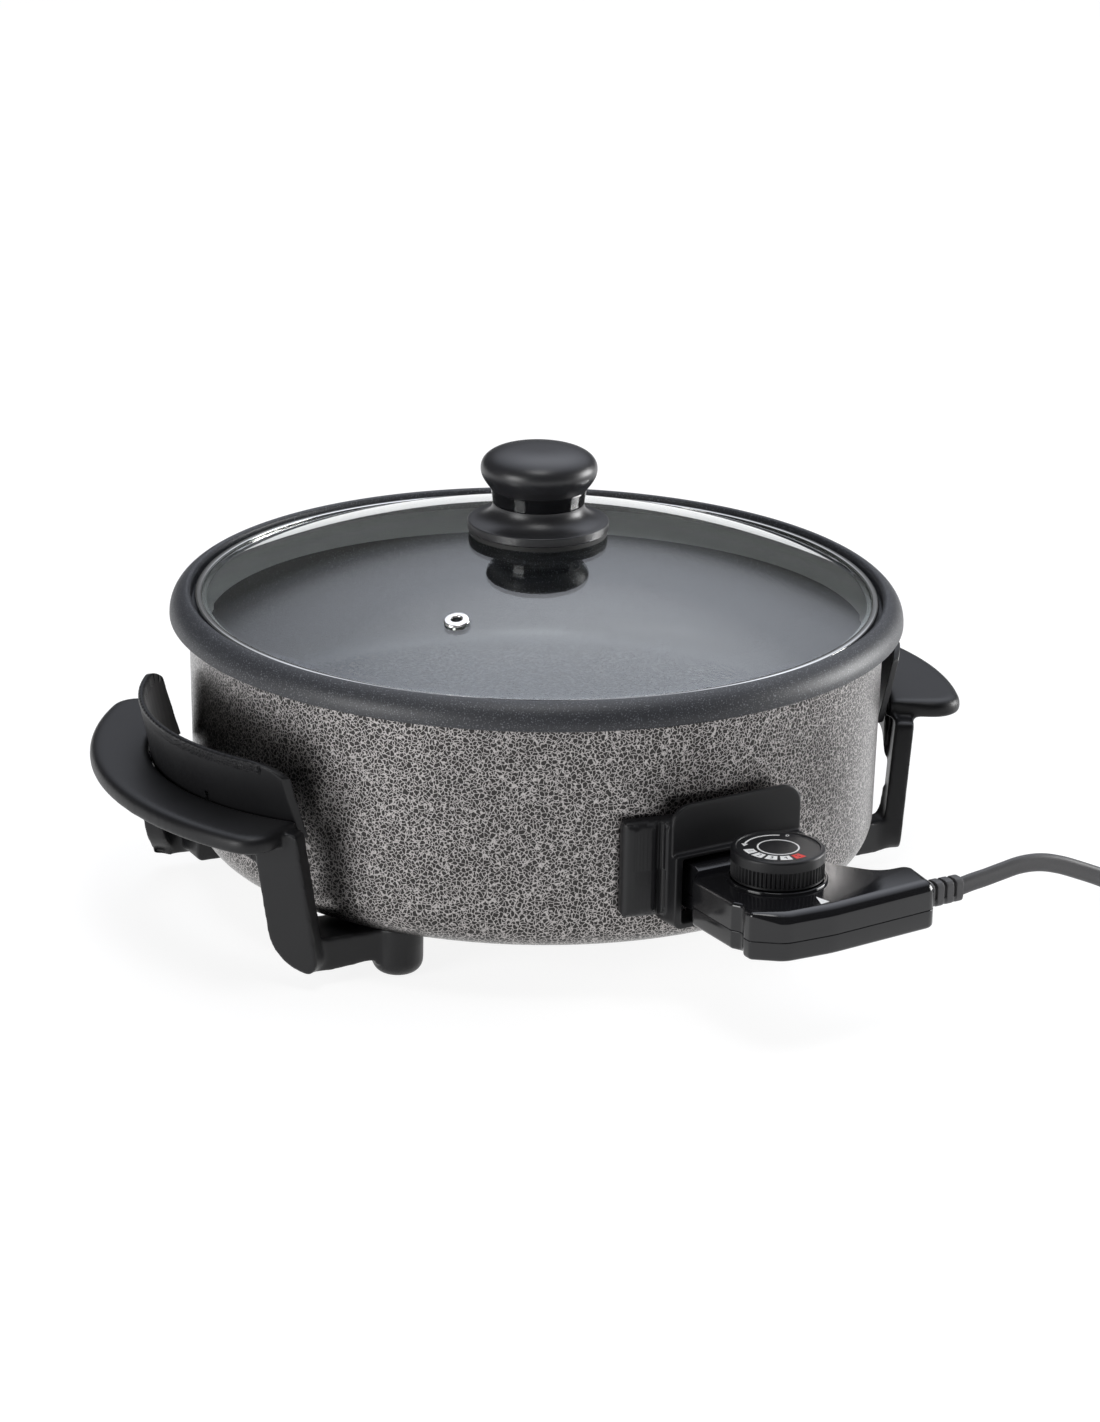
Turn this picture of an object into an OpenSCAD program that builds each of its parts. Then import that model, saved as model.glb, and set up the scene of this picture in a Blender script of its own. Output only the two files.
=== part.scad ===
// Electric skillet: flanged non-stick pot in a painted shell, two foot handles,
// lift-off glass lid, plug-in heat control with a turning dial, cord and plug.
// Millimetres. Origin on the pan's axis at the table, +Z up, control towards -Y.

/* [Pot and shell] */
// Outer radius of the pot's rim
rim_r = 183; // [165:1:200]
// Height of the shell's underside above the table
foot_h = 25; // [22:0.5:30]
// Height from the shell's underside to the top of the rim
pan_h = 130; // [125:1:140]
// Width of the rim from its outer edge in to the lid recess
rim_w = 10.4; // [9.5:0.1:12]
// Height of the rim's rounded skirt
rim_drop = 13; // [12.5:0.1:14]
// Radius of the rim's inner lip
rim_lip = 2; // [1.6:0.1:2.4]
// Depth of the lid seat below the rim's top
seat_drop = 7.5; // [7:0.1:9]
// Width of the lid seat
seat_w = 6.3; // [5.8:0.1:7]
// Depth of the cooking space below the rim's top
pot_depth = 80; // [76:0.5:84]
// Thickness of the pot's wall and floor
pot_t = 2.8; // [2.4:0.1:3.2]
// Thickness of the pad under the pot's floor
pad_t = 2.2; // [1.5:0.1:3]
// Radius of the pad under the pot's floor
pad_r = 132; // [125:1:138]
// Slope of the pot's wall in degrees
pot_draft = 4; // [2:0.5:5]
// Inner corner radius between the pot's wall and floor
pot_corner = 18; // [12:1:24]
// Sheet thickness of the shell
shell_t = 1.6; // [1.2:0.1:2]
// Slope of the shell's wall in degrees
shell_draft = 1.2; // [0.8:0.1:1.6]
// Corner radius at the shell's underside
shell_corner = 19; // [15:1:22]

/* [Heating] */
// Radius of the heating ring's centre line
ring_r = 112; // [100:1:120]
// Radius of the heating tube
tube_r = 4; // [3.5:0.1:4.5]
// Height of the socket's axis above the shell's underside
socket_h = 35; // [34:0.5:36]
// Distance between the two terminal pins
pin_gap = 32; // [30:0.5:34]
// Radius of a terminal pin
pin_r = 2.5; // [2.2:0.1:2.8]
// Radius of the temperature probe
probe_r = 3.2; // [2.8:0.1:3.6]
// Length of probe that reaches past the shell
probe_len = 70; // [60:1:76]

/* [Socket guard] */
// Width of the guard's box
guard_w = 74; // [72:0.5:78]
// Distance from the shell to the guard's front
guard_out = 12.4; // [11.5:0.1:13.5]
// Wall of the guard around the opening
guard_t = 4; // [3.5:0.1:4.5]
// Height of the guard's opening
mouth_h = 32; // [30:0.5:34]
// Height of the guard's box top above the socket's axis
guard_top = 30; // [28:0.5:32]
// Height of the finger plate's top above the socket's axis
plate_top = 41.7; // [38:0.5:44]
// Distance from the guard's middle to the end of its long ear
ear_long = 55.1; // [53.5:0.1:58.4]
// Distance from the guard's middle to the end of its short ear
ear_short = 40.2; // [39.7:0.1:42.4]
// Thickness of the guard's ears
ear_t = 9.5; // [9:0.1:10]

/* [Handles] */
// Angle that each handle is set back from the pan's middle
handle_turn = 6.5; // [5.5:0.5:7.5]
// Distance from the rim's edge in to the crescent's centre
arc_back = 104; // [103:0.5:105]
// Inner radius of the crescent grip
grip_in = 120; // [119.5:0.1:120.5]
// Outer radius of the crescent grip
grip_out = 154.5; // [150:0.5:158]
// Height of the grip's underside above the table
grip_z = 75; // [74:0.5:76]
// Thickness of the grip
grip_t = 9; // [8.5:0.5:10.5]
// Half angle of the grip
grip_angle = 42.5; // [42:0.5:43]
// Outer corner radius of the grip's ends
grip_corner = 15; // [12:1:17]
// Height of the heat shield's top above the table
shield_top = 111; // [107:1:115]
// Slope of the heat shield in degrees
shield_lean = 12; // [11:0.5:13]
// Thickness of the heat shield
shield_t = 3.4; // [3:0.1:3.8]
// Half width of the heat shield
shield_half = 87; // [86:0.5:88]
// Half distance between the outer faces of a handle's legs
leg_half = 85; // [84.5:0.5:86]
// Thickness of a leg
leg_t = 10; // [9:0.5:11]
// Angle that each leg is turned out towards its post
leg_turn = 10; // [9:0.5:11]
// Distance from the rim's edge in to a foot post, along its handle
post_back = 68.5; // [68:0.5:69.5]
// Distance of a foot post from its handle's centre line
post_y = 87.5; // [87:0.5:88.5]
// Radius of a foot post
post_r = 12.5; // [11:0.5:13]

/* [Lid] */
// Gap between the rim's recess and the lid band
lid_gap = 2; // [1:0.1:2.5]
// Height of the lid band above its seat
band_h = 5.4; // [5.2:0.1:6.2]
// Sheet thickness of the lid band
band_t = 0.8; // [0.6:0.1:0.9]
// Height of the band's skirt inside the pot
skirt_h = 13; // [8:0.5:16]
// Height of the glass dome above its edge
dome_h = 33; // [28:0.5:38]
// Thickness of the glass
glass_t = 3.2; // [2.8:0.1:3.3]
// Distance of the steam vent from the lid's axis
vent_r = 112; // [90:1:125]
// Direction of the steam vent round the lid in degrees
vent_dir = 217.6; // [0:0.1:359]
// Outer radius of the vent's eyelet
eyelet_r = 6.4; // [5.6:0.1:7.4]
// Radius of the vent's hole
vent_hole_r = 2.5; // [2:0.1:3]
// Radius of the knob's flange
knob_flange_r = 35.2; // [33:0.2:38]
// Widest radius of the knob's cap
knob_r = 29; // [27:0.2:31]
// Radius of the knob's neck
knob_neck_r = 22.8; // [21.5:0.1:23.5]
// Height of the knob's base
knob_base_h = 13.4; // [12:0.1:15]
// Height of the knob's glossy collar
knob_collar_h = 7.4; // [6.5:0.1:8.5]
// Height of the knob's cap
knob_cap_h = 20.7; // [19:0.1:23]

/* [Control] */
// Half width of the control's block
ctl_half = 35; // [34:0.5:36]
// Depth of the control's block from the guard outwards
ctl_depth = 73; // [71:0.5:76]
// Reach of the control's arm to the cord
arm_len = 64; // [60:1:68]
// Width of the control's arm
arm_w = 25; // [23:0.5:27]
// Height of the control's upper shell
ctl_top_h = 14; // [13:0.5:16]
// Height of the control's lower shell
ctl_low_h = 9.5; // [9:0.5:11]
// Wall of the control's shells
ctl_t = 2.4; // [2:0.1:2.8]
// Gap between the control and the guard
ctl_gap = 2; // [1:0.1:3]
// Radius of the dial's ribbed skirt
dial_r = 22.4; // [21:0.1:24]
// Height of the dial
dial_h = 14.4; // [13:0.2:16]
// Number of grip ribs round the dial
dial_ribs = 64; // [48:4:68]
// Radius of the dial's spindle
spindle_r = 4; // [3.5:0.1:4.5]

/* [Cord] */
// Width of the flat cord
cord_w = 9; // [8.2:0.1:9.4]
// Thickness of the flat cord
cord_t = 4.6; // [4:0.1:4.8]
// Length of the strain relief
relief_len = 21; // [19:0.5:24]
// Middle radius of the coil
coil_r = 44; // [43:0.5:46]
// Gap between the coil's turns
coil_gap = 0.6; // [0.5:0.1:0.8]
// Length of the plug's body
plug_len = 36; // [32:1:42]

/* [Hidden] */
$fn = 64;
fit = 0.3;
slide_fit = 0.08;

rim_z = foot_h + pan_h;
recess_r = rim_r - rim_w;
seat_z = rim_z - seat_drop;
shelf_z = seat_z - pot_t;
pot_r = recess_r - seat_w;
floor_z = rim_z - pot_depth;
under_z = floor_z - pot_t - pad_t;
shell_r = recess_r + rim_lip * 0.4;
socket_z = foot_h + socket_h;
shell_post_r = 78;
shell_screw_r = 2;
shell_screw_len = 15;
function shell_at(z) = shell_r - (shelf_z - z) * tan(shell_draft);
socket_r = shell_at(socket_z);

// The rim's big arc meets its inner lip at lip_angle
lip_angle = 68;
rim_arc = (rim_w - rim_lip - rim_lip * cos(lip_angle)) / (1 - cos(lip_angle));
rim_cx = rim_r - rim_arc;
rim_cz = rim_z - rim_lip - (rim_arc - rim_lip) * sin(lip_angle);
rim_t = 2.2;

// Socket well and terminals behind the guard
well_depth = 15;
well_t = 1;
well_half = guard_w / 2 - guard_t - 1;
well_h = mouth_h - 3;
well_y = -(socket_r - well_depth);
pin_tip_y = -(socket_r + 7);
bush_r = 6;
bush_len = 10;
element_end_y = well_y + 6;
block_half = 8;
block_front_y = well_y + 4;
block_len = probe_len - well_depth - 2;

guard_y = -(socket_r + guard_out);
plate_y = guard_y + 3.7;
plate_t = 3;
ear_in = shell_at(socket_z - guard_top);
ear_low = socket_z - mouth_h / 2 + 2;
ear_top = socket_z + guard_top + 4.5;
ear_round = 4.5;
long_angle = asin(ear_long / ear_in);
short_angle = asin(ear_short / ear_in);
guard_screws_at = [-asin((ear_long - 9.7) / ear_in), asin((well_half + 4.7) / ear_in)];
guard_screw_z = socket_z + 8;
guard_screw_r = 2;
guard_screw_in = 6;

// Handle profiles are drawn with the crescent's centre at the origin
arc_x = rim_r - arc_back;
post_x = rim_r - post_back;
function shield_r(z) = grip_in - fit - (grip_z + grip_t - z) * tan(shield_lean);
shield_low = grip_z - 2;
peg_angle = 18;
peg_z = grip_z + grip_t / 2;
peg_r = 2.5;
peg_len = 11;
wall_t = 4;
wall_out = grip_in + 2.4;
arch_top = grip_z - 14;
arch_round = 14;
leg_out_x = -(wall_out * cos(grip_angle) + arc_x) - 14.4;
leg_mid_z = grip_z / 2 + 0.5;
leg_in_z = leg_mid_z + 8;
leg_sweep = 80;
shield_span = asin(shield_half / (shield_r(shield_low) - shield_t)) + 2;
post_dome = 7;
post_top = foot_h;
post_screw_r = 2;
post_head_r = 4.2;
post_head_z = 9;
nut_t = 3;
nut_r = 6.5;

// Lid
lid_r = recess_r - lid_gap;
band_z = seat_z + fit;
band_top = band_z + band_h;
band_lip = 3.6;
skirt_out = pot_r - skirt_h * tan(pot_draft) - 0.7;
glass_edge_r = lid_r - band_t - fit;
dome_r = lid_r - band_lip - 0.5;
glass_low = band_z + band_t + 0.2;
glass_top = glass_low + glass_t;
dome_R = (dome_r * dome_r + dome_h * dome_h) / (2 * dome_h);
apex_z = glass_top + dome_h;
function dome_z(r) = apex_z - dome_R + sqrt(dome_R * dome_R - r * r);
knob_bore_r = 2.6;
knob_z = apex_z + 1;
collar_z = knob_z + knob_base_h;
cap_z = collar_z + knob_collar_h;
cap_top = cap_z + knob_cap_h;
washer_r = 11;
washer_t = 1.4;
vent_tilt = asin(vent_r / dome_R);
eyelet_tube_r = vent_hole_r + 1.1;
eyelet_t = 1.1;

// Control
ctl_rear = guard_y - ctl_gap;
ctl_front = ctl_rear - ctl_depth;
split_z = socket_z - 3;
ctl_top = split_z + ctl_top_h;
ctl_low = split_z - ctl_low_h;
arm_y = ctl_front + 3.5;
arm_mid_y = arm_y + arm_w / 2;
dial_y = ctl_rear - 28.3;
bezel_h = 1.2;
dial_z = ctl_top + bezel_h + fit;
dial_top = dial_z + dial_h;
neck_half = well_half - 4;
neck_low = split_z - 7.5;
neck_top = socket_z + well_h / 2 - well_t - 0.5;
neck_end_y = well_y - 7;
sleeve_r = 4.2;
sleeve_end_y = neck_end_y - 1;
carrier_y = ctl_rear - 6;
carrier_len = 9;
floor_low = ctl_low + ctl_t;
roof_z = ctl_top - ctl_t;
ctl_screw_r = 1.6;
ctl_screw_head_r = 3.2;
ctl_screws_at = [[-(ctl_half - 6), ctl_front + 14], [arm_len - 14, arm_mid_y]];
ctl_boss_r = 4;
ctl_screw_deep = 8;
nose_gap_y = ctl_front + 23.5;
nose_gap_r = 6;

// Cord: the free stretch's points after the strain relief, then the coil
cord_z = split_z + 2.5;
relief_x = arm_len + relief_len;
relief_half = cord_t / 2 + 2.4;
relief_tall = cord_w / 2 + 1.8;
lead_points = [[16, 0, 2], [25, 0, 3.2], [37, 0, 4.5], [49, 0, 3.5], [61, 0, 0], [74, 0, -5.5],
               [87, 0, -11.5], [101, 1, -19], [115, 2, -27.5], [129, 3, -36], [143, 4, -44], [157, 4, -49.5]];
lead_reach = 199;
coil_base = 1.4;
coil_turns = 1.25;
layer_h = cord_w + coil_gap;
coil_pitch = cord_t + coil_gap;
coil_out = coil_r + coil_pitch * coil_turns / 2;
coil_low_z = coil_base + cord_w / 2;
coil_x = relief_x + lead_reach;
coil_y = arm_mid_y + 4 + coil_out;
loop_steps = 24;
tie_t = 0.8;
tie_w = 9;
tie_angle = 20;
plug_w = 24;
plug_h = 15;
blade_gap = 12.7;

// Points on an arc
function arc(c, r, a0, a1, n = 10) =
    [for (i = [0:n]) c + r * [cos(a0 + (a1 - a0) * i / n), sin(a0 + (a1 - a0) * i / n)]];

// A cup's outline from its axis to its top edge, with a sloped wall and a round corner
function cup(r_top, z_top, z_low, draft, corner, n = 10) =
    let (cz = z_low + corner,
         cx = r_top - (z_top - cz) * tan(draft) - corner / cos(draft))
    concat([[0, z_low]], arc([cx, cz], corner, -90, -draft, n), [[r_top, z_top]]);

function reverse(p) = [for (i = [len(p) - 1:-1:0]) p[i]];
function unit(v) = v / norm(v);

// One rounded corner of an outline, from the corners before and after it
function corner_arc(a, b, c, r, n) =
    let (u = unit([a[0] - b[0], a[1] - b[1]]),
         v = unit([c[0] - b[0], c[1] - b[1]]),
         half = acos(u * v) / 2,
         m = [b[0], b[1]] + unit(u + v) * r / sin(half),
         s = [b[0], b[1]] + u * r / tan(half) - m,
         e = [b[0], b[1]] + v * r / tan(half) - m,
         a0 = atan2(s[1], s[0]),
         turn = atan2(e[1], e[0]) - a0,
         sweep = turn > 180 ? turn - 360 : turn < -180 ? turn + 360 : turn)
    arc(m, r, a0, a0 + sweep, n);

// An outline whose corners [x, y, radius] are rounded
function rounded(p, n = 5) =
    [for (i = [0:len(p) - 1])
        each corner_arc(p[(i + len(p) - 1) % len(p)], p[i], p[(i + 1) % len(p)], p[i][2], n)];

// The same outline drawn in by d, for one that runs counter-clockwise
function inset(p, d) =
    [for (i = [0:len(p) - 1])
        let (u = unit(p[i] - p[(i + len(p) - 1) % len(p)]),
             v = unit(p[(i + 1) % len(p)] - p[i]),
             m = unit(u + v))
        p[i] + [-m[1], m[0]] * d / max(0.5, m * u)];

// A closed solid through rings that all have the same number of points
module loft(rings) {
    n = len(rings[0]);
    k = len(rings);
    sides = [for (j = [0:k - 2], i = [0:n - 1], h = [0:1])
                let (a = j * n + i, b = j * n + (i + 1) % n)
                h == 0 ? [a, a + n, b + n] : [a, b + n, b]];
    caps = [[for (i = [0:n - 1]) i], [for (i = [n - 1:-1:0]) (k - 1) * n + i]];
    polyhedron([for (r = rings) each r], concat(sides, caps));
}

// An outline raised from z0 to z1 whose ends are rounded by r0 and r1
module rounded_block(outline, z0, z1, r0, r1) {
    low = [for (a = r0 > 0 ? [0, 30, 60, 90] : [90]) [z0 + r0 * (1 - cos(a)), r0 * (1 - sin(a))]];
    high = [for (a = r1 > 0 ? [90, 60, 30, 0] : [90]) [z1 - r1 * (1 - cos(a)), r1 * (1 - sin(a))]];
    loft([for (s = concat(low, high)) [for (p = inset(outline, s[1])) [p[0], p[1], s[0]]]]);
}

// A round bar between two points
module rod(p, q, r) {
    v = q - p;
    translate(p)
        rotate([0, acos(v[2] / norm(v)), atan2(v[1], v[0])])
            cylinder(r = r, h = norm(v));
}

// A cylinder along Y from y0 to y1
module along_y(x, z, y0, y1, r) {
    translate([x, max(y0, y1), z])
        rotate([90, 0, 0])
            cylinder(r = r, h = abs(y1 - y0));
}

module inner_pot() {
    color("dimgray") {
        rotate_extrude($fn = 96)
            polygon(concat(
                cup(pot_r, seat_z, floor_z, pot_draft, pot_corner),
                [[recess_r, seat_z]],
                reverse(arc([recess_r + rim_lip, rim_z - rim_lip], rim_lip, lip_angle, 180, 6)),
                reverse(arc([rim_cx, rim_cz], rim_arc, 0, lip_angle, 10)),
                [[rim_r, rim_z - rim_drop], [rim_r - rim_t, rim_z - rim_drop]],
                arc([rim_cx, rim_cz], rim_arc - rim_t, 0,
                    acos((recess_r + rim_t - rim_cx) / (rim_arc - rim_t)), 8),
                [[recess_r + rim_t, shelf_z]],
                reverse(cup(pot_r + pot_t, shelf_z, floor_z - pot_t, pot_draft, pot_corner + pot_t))));
        difference() {
            union() {
                translate([0, 0, under_z])
                    cylinder(r = pad_r, h = pad_t + pot_t / 2);
                translate([-block_half, block_front_y, socket_z - probe_r - 3])
                    cube([2 * block_half, block_len, under_z - socket_z + probe_r + 3.5]);
                for (a = [30, 150, 270])
                    rotate(a)
                        translate([0, shell_post_r, foot_h + shell_t])
                            cylinder(r = 5, h = under_z - foot_h - shell_t + 1);
            }
            along_y(0, socket_z, block_front_y - 1, block_front_y + block_len - 4, probe_r + slide_fit);
            for (a = [30, 150, 270])
                rotate(a)
                    translate([0, shell_post_r, foot_h])
                        cylinder(r = shell_screw_r + 0.05, h = 16);
        }
    }
}

module outer_shell() {
    color("darkslategray")
        difference() {
            rotate_extrude($fn = 96)
                polygon(concat(
                    cup(shell_r, shelf_z, foot_h, shell_draft, shell_corner),
                    reverse(cup(shell_r - shell_t, shelf_z, foot_h + shell_t, shell_draft,
                                shell_corner - shell_t))));
            translate([-well_half + well_t, -shell_r - 5, socket_z - well_h / 2 + well_t])
                cube([2 * (well_half - well_t), 40, well_h - 2 * well_t]);
            for (a = guard_screws_at)
                rotate(a)
                    along_y(0, guard_screw_z, -shell_r - 5, -shell_r + shell_corner, guard_screw_r + 0.1);
            at_posts()
                translate([0, 0, foot_h - 1])
                    cylinder(r = post_screw_r + 0.1, h = shell_t + 4);
            for (a = [30, 150, 270])
                rotate(a)
                    translate([0, shell_post_r, foot_h - 1])
                        cylinder(r = shell_screw_r + 0.1, h = shell_t + 2);
        }
}

module shell_screws() {
    color("silver")
        for (a = [30, 150, 270])
            rotate(a)
                translate([0, shell_post_r, 0]) {
                    translate([0, 0, foot_h - 2.2])
                        cylinder(r1 = 3.4, r2 = 4.2, h = 2.2);
                    translate([0, 0, foot_h - 0.5])
                        cylinder(r = shell_screw_r, h = shell_screw_len);
                }
}

module heating_element() {
    half_gap = asin((pin_gap / 2 + 10) / ring_r);
    ring_z = under_z - tube_r - 0.1;
    bend = [pin_gap / 2 + 10, -ring_r * cos(half_gap), ring_z];
    foot = [pin_gap / 2, element_end_y + 8, socket_z];
    color("gray") {
        translate([0, 0, ring_z])
            rotate(-90 + half_gap)
                rotate_extrude(angle = 360 - 2 * half_gap, $fn = 96)
                    translate([ring_r, 0])
                        circle(r = tube_r, $fn = 32);
        for (m = [0, 1])
            mirror([m, 0, 0]) {
                translate(bend)
                    sphere(r = tube_r + 0.1);
                rod(bend, foot, tube_r);
                translate(foot)
                    sphere(r = tube_r + 0.1);
                along_y(foot[0], foot[2], element_end_y, foot[1], tube_r);
            }
    }
}

module terminal_pins() {
    color("silver")
        for (x = [-1, 1])
            difference() {
                along_y(x * pin_gap / 2, socket_z, pin_tip_y, element_end_y, pin_r);
                translate([x * pin_gap / 2, pin_tip_y, socket_z])
                    rotate([-90, 0, 0])
                        difference() {
                            translate([0, 0, -0.5])
                                cylinder(r = pin_r + 1, h = 1.7);
                            translate([0, 0, -0.01])
                                cylinder(r1 = pin_r - 1.2, r2 = pin_r + 0.01, h = 1.22);
                        }
            }
}

module terminal_insulators() {
    color("ivory")
        for (x = [-1, 1])
            difference() {
                union() {
                    along_y(x * pin_gap / 2, socket_z, well_y - 4, well_y + 5, bush_r - 0.2);
                    along_y(x * pin_gap / 2, socket_z, well_y - 4, well_y, bush_r + 1.5);
                }
                along_y(x * pin_gap / 2, socket_z, well_y - 10, well_y + 10, pin_r + 0.05);
            }
}

module socket_well() {
    color("lightgray")
        difference() {
            intersection() {
                translate([-well_half, -shell_r, socket_z - well_h / 2])
                    cube([2 * well_half, shell_r + well_y + well_t, well_h]);
                rotate_extrude($fn = 96)
                    polygon(concat(cup(shell_r - shell_t, shelf_z, foot_h + shell_t, shell_draft,
                                       shell_corner - shell_t), [[0, shelf_z]]));
            }
            translate([-well_half + well_t, -shell_r - 1, socket_z - well_h / 2 + well_t])
                cube([2 * (well_half - well_t), shell_r + well_y + 1, well_h - 2 * well_t]);
            for (x = [-1, 1])
                along_y(x * pin_gap / 2, socket_z, well_y - 1, well_y + 3, bush_r);
            along_y(0, socket_z, well_y - 1, well_y + 3, probe_r + 2);
        }
}

// An ear of the guard on the left: a block lying on the shell, with its outer edges rounded
module guard_ear(reach) {
    far = 60;
    rotate(-reach)
        intersection() {
            rotate(-90)
                rotate_extrude(angle = reach - 9, $fn = 96)
                    translate([ear_in, 0])
                        polygon(rounded([[-2, ear_low, 0.5], [ear_t, ear_low, ear_round],
                                         [ear_t, ear_top, ear_round], [-2, ear_top, 0.5]]));
            rotate([90, 0, 0])
                linear_extrude(ear_in + far)
                    polygon(rounded([[0, ear_low - 1, ear_round], [far, ear_low - 1, 1],
                                     [far, ear_top + 1, 1], [0, ear_top + 1, ear_round]]));
            linear_extrude(ear_top + far)
                polygon(rounded([[0, -ear_in + far, 1], [0, -ear_in - ear_t, ear_round],
                                 [far, -ear_in - ear_t, 1], [far, -ear_in + far, 1]]));
        }
}

module socket_guard() {
    half = guard_w / 2;
    groove_x = half + 3.5;
    ear_front = ear_in + ear_t;
    low = socket_z - mouth_h / 2 - guard_t + 1;
    box_top = socket_z + guard_top;
    frame_top = socket_z + mouth_h / 2 + 2;
    color("black")
        difference() {
            union() {
                guard_ear(long_angle);
                mirror([1, 0, 0])
                    guard_ear(short_angle);
                translate([0, plate_y, 0])
                    rotate([90, 0, 0])
                        translate([0, 0, -ear_t - 9])
                            linear_extrude(ear_t + 9)
                                polygon(rounded([[-half, low, 4], [half, low, 4],
                                                 [half, box_top, 2], [-half, box_top, 2]]));
                translate([0, plate_y + plate_t, 0])
                    rotate([90, 0, 0])
                        linear_extrude(plate_t)
                            polygon(rounded([[-half, low, 4], [half, low, 4],
                                             [half, socket_z + plate_top, 10],
                                             [-half, socket_z + plate_top, 10]]));
                translate([0, plate_y, 0])
                    rotate([90, 0, 0])
                        linear_extrude(plate_y - guard_y)
                            polygon(rounded([[-half, low, 4], [half, low, 4],
                                             [half, frame_top, 2], [-half, frame_top, 2]]));
            }
            rotate_extrude($fn = 96)
                polygon(concat(
                    cup(shell_r + 0.05, shelf_z, foot_h, shell_draft, shell_corner), [[0, shelf_z]]));
            translate([-half + guard_t, guard_y - 1, socket_z - mouth_h / 2])
                cube([guard_w - 2 * guard_t, -guard_y, mouth_h]);
            translate([-groove_x, -sqrt(ear_front * ear_front - groove_x * groove_x) - 0.5, 0])
                cylinder(r = 2.4, h = ear_top + 1);
            for (a = guard_screws_at)
                rotate(a)
                    along_y(0, guard_screw_z, -ear_in - guard_screw_in - 0.4, -ear_in + shell_corner,
                            guard_screw_r + 0.1);
        }
}

module guard_screws() {
    color("silver")
        for (a = guard_screws_at)
            rotate(a) {
                along_y(0, guard_screw_z, -ear_in - guard_screw_in, -ear_in + 3, guard_screw_r);
                translate([0, -shell_at(guard_screw_z) + shell_t + 0.15, guard_screw_z])
                    rotate([-90, 0, 0])
                        cylinder(r1 = 3.6, r2 = 2.8, h = 2.2);
            }
}

// The crescent grip: a rounded section carried round the arc, with round outer corners
module crescent_grip() {
    edge = 0.36 * grip_t;
    swing = asin(grip_corner / (grip_out - grip_corner));
    middle = (grip_out - grip_corner) * [cos(grip_angle - swing), sin(grip_angle - swing)];
    end = concat(arc([0, 0], grip_out + 0.2, 0, grip_angle - swing, 8),
                 arc(middle, grip_corner + 0.2, grip_angle - swing, grip_angle + 90, 8),
                 [(grip_in - 8) * [cos(grip_angle), sin(grip_angle)]]);
    rotate(180)
        intersection() {
            rotate(-grip_angle)
                rotate_extrude(angle = 2 * grip_angle, $fn = 96)
                    polygon(rounded([[grip_in, grip_z, 0.8], [grip_out - 1.5, grip_z, edge - 1],
                                     [grip_out, grip_z + grip_t - 3, edge],
                                     [grip_in, grip_z + grip_t, 0.8]]));
            translate([0, 0, grip_z - 5])
                linear_extrude(grip_t + 10)
                    polygon(concat(end, [for (p = reverse(end)) [p[0], -p[1]]]));
        }
}

// A leg and its foot bar, seen along Y: down the outside, round under the pan to the post
function leg_outline() =
    rounded([[leg_out_x - 1.2, grip_z + 4, 4], [leg_out_x + 1.3, leg_mid_z, leg_sweep],
             [leg_out_x + 5, 4.4, 20], [leg_out_x + 42, 5, 40], [-post_x, 8, 4],
             [-post_x, foot_h - fit, 4], [leg_out_x + 24, foot_h - fit, 8],
             [leg_out_x + 17.5, leg_in_z, leg_sweep], [leg_out_x + 14.8, grip_z + 4, 4]], 4);

// The left handle's own place, set back round the pan
module on_left() {
    rotate(-handle_turn)
        children();
}

// The places of all four foot posts
module at_posts() {
    for (m = [0, 1])
        mirror([m, 0, 0])
            on_left()
                for (y = [-1, 1])
                    translate([-post_x, y * post_y, 0])
                        children();
}

module left_handle() {
    color("black")
        on_left()
            difference() {
                union() {
                    translate([-arc_x, 0, 0])
                        crescent_grip();
                    for (m = [0, 1])
                        mirror([0, m, 0]) {
                            translate([leg_out_x + 10, leg_half, 0])
                                rotate(leg_turn)
                                    translate([-leg_out_x - 10, 0, 0])
                                        rotate([90, 0, 0])
                                            linear_extrude(leg_t)
                                                polygon(leg_outline());
                            translate([-post_x, post_y, 0])
                                rotate_extrude()
                                    polygon(concat([[0, 0]],
                                                   arc([post_r - post_dome, post_dome], post_dome, -90, 0, 8),
                                                   [[post_r, post_top], [0, post_top]]));
                        }
                    difference() {
                        translate([-arc_x, 0, arch_top - 26])
                            rotate(180 - grip_angle + 3)
                                rotate_extrude(angle = 2 * grip_angle - 6, $fn = 96)
                                    translate([wall_out - wall_t, 0])
                                        square([wall_t, grip_z - arch_top + 27]);
                        translate([-arc_x, 0, 0])
                            rotate([90, 0, -90])
                                linear_extrude(grip_out)
                                    polygon(rounded([[-leg_half + leg_t - 1, arch_top - 40, 1],
                                                     [leg_half - leg_t + 1, arch_top - 40, 1],
                                                     [leg_half - leg_t - 3, arch_top, arch_round],
                                                     [-leg_half + leg_t + 3, arch_top, arch_round]]));
                    }
                }
                shield_pegs(0.05, 1);
                translate([-arc_x, 0, 0])
                    rotate_extrude($fn = 96)
                        polygon([[0, shield_low - fit], [shield_r(shield_low) + fit, shield_low - fit],
                                 [shield_r(grip_z + 6) + fit, grip_z + 6], [0, grip_z + 6]]);
                for (m = [0, 1])
                    mirror([0, m, 0])
                        translate([-post_x, post_y, 0]) {
                            translate([0, 0, -1])
                                cylinder(r = post_screw_r + 0.15, h = foot_h + 2);
                            translate([0, 0, -1])
                                cylinder(r = post_head_r + fit, h = post_head_z + 1);
                        }
            }
}

module right_handle() {
    mirror([1, 0, 0])
        left_handle();
}

// Pegs that hold the shield to the grip, or their holes when looser and longer
module shield_pegs(loose, longer) {
    for (y = [-1, 1])
        translate([-arc_x, 0, 0])
            rotate(y * peg_angle)
                translate([-shield_r(peg_z) + 1, 0, peg_z])
                    rotate([0, -90, 0])
                        cylinder(r = peg_r + loose, h = peg_len + longer);
}

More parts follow.
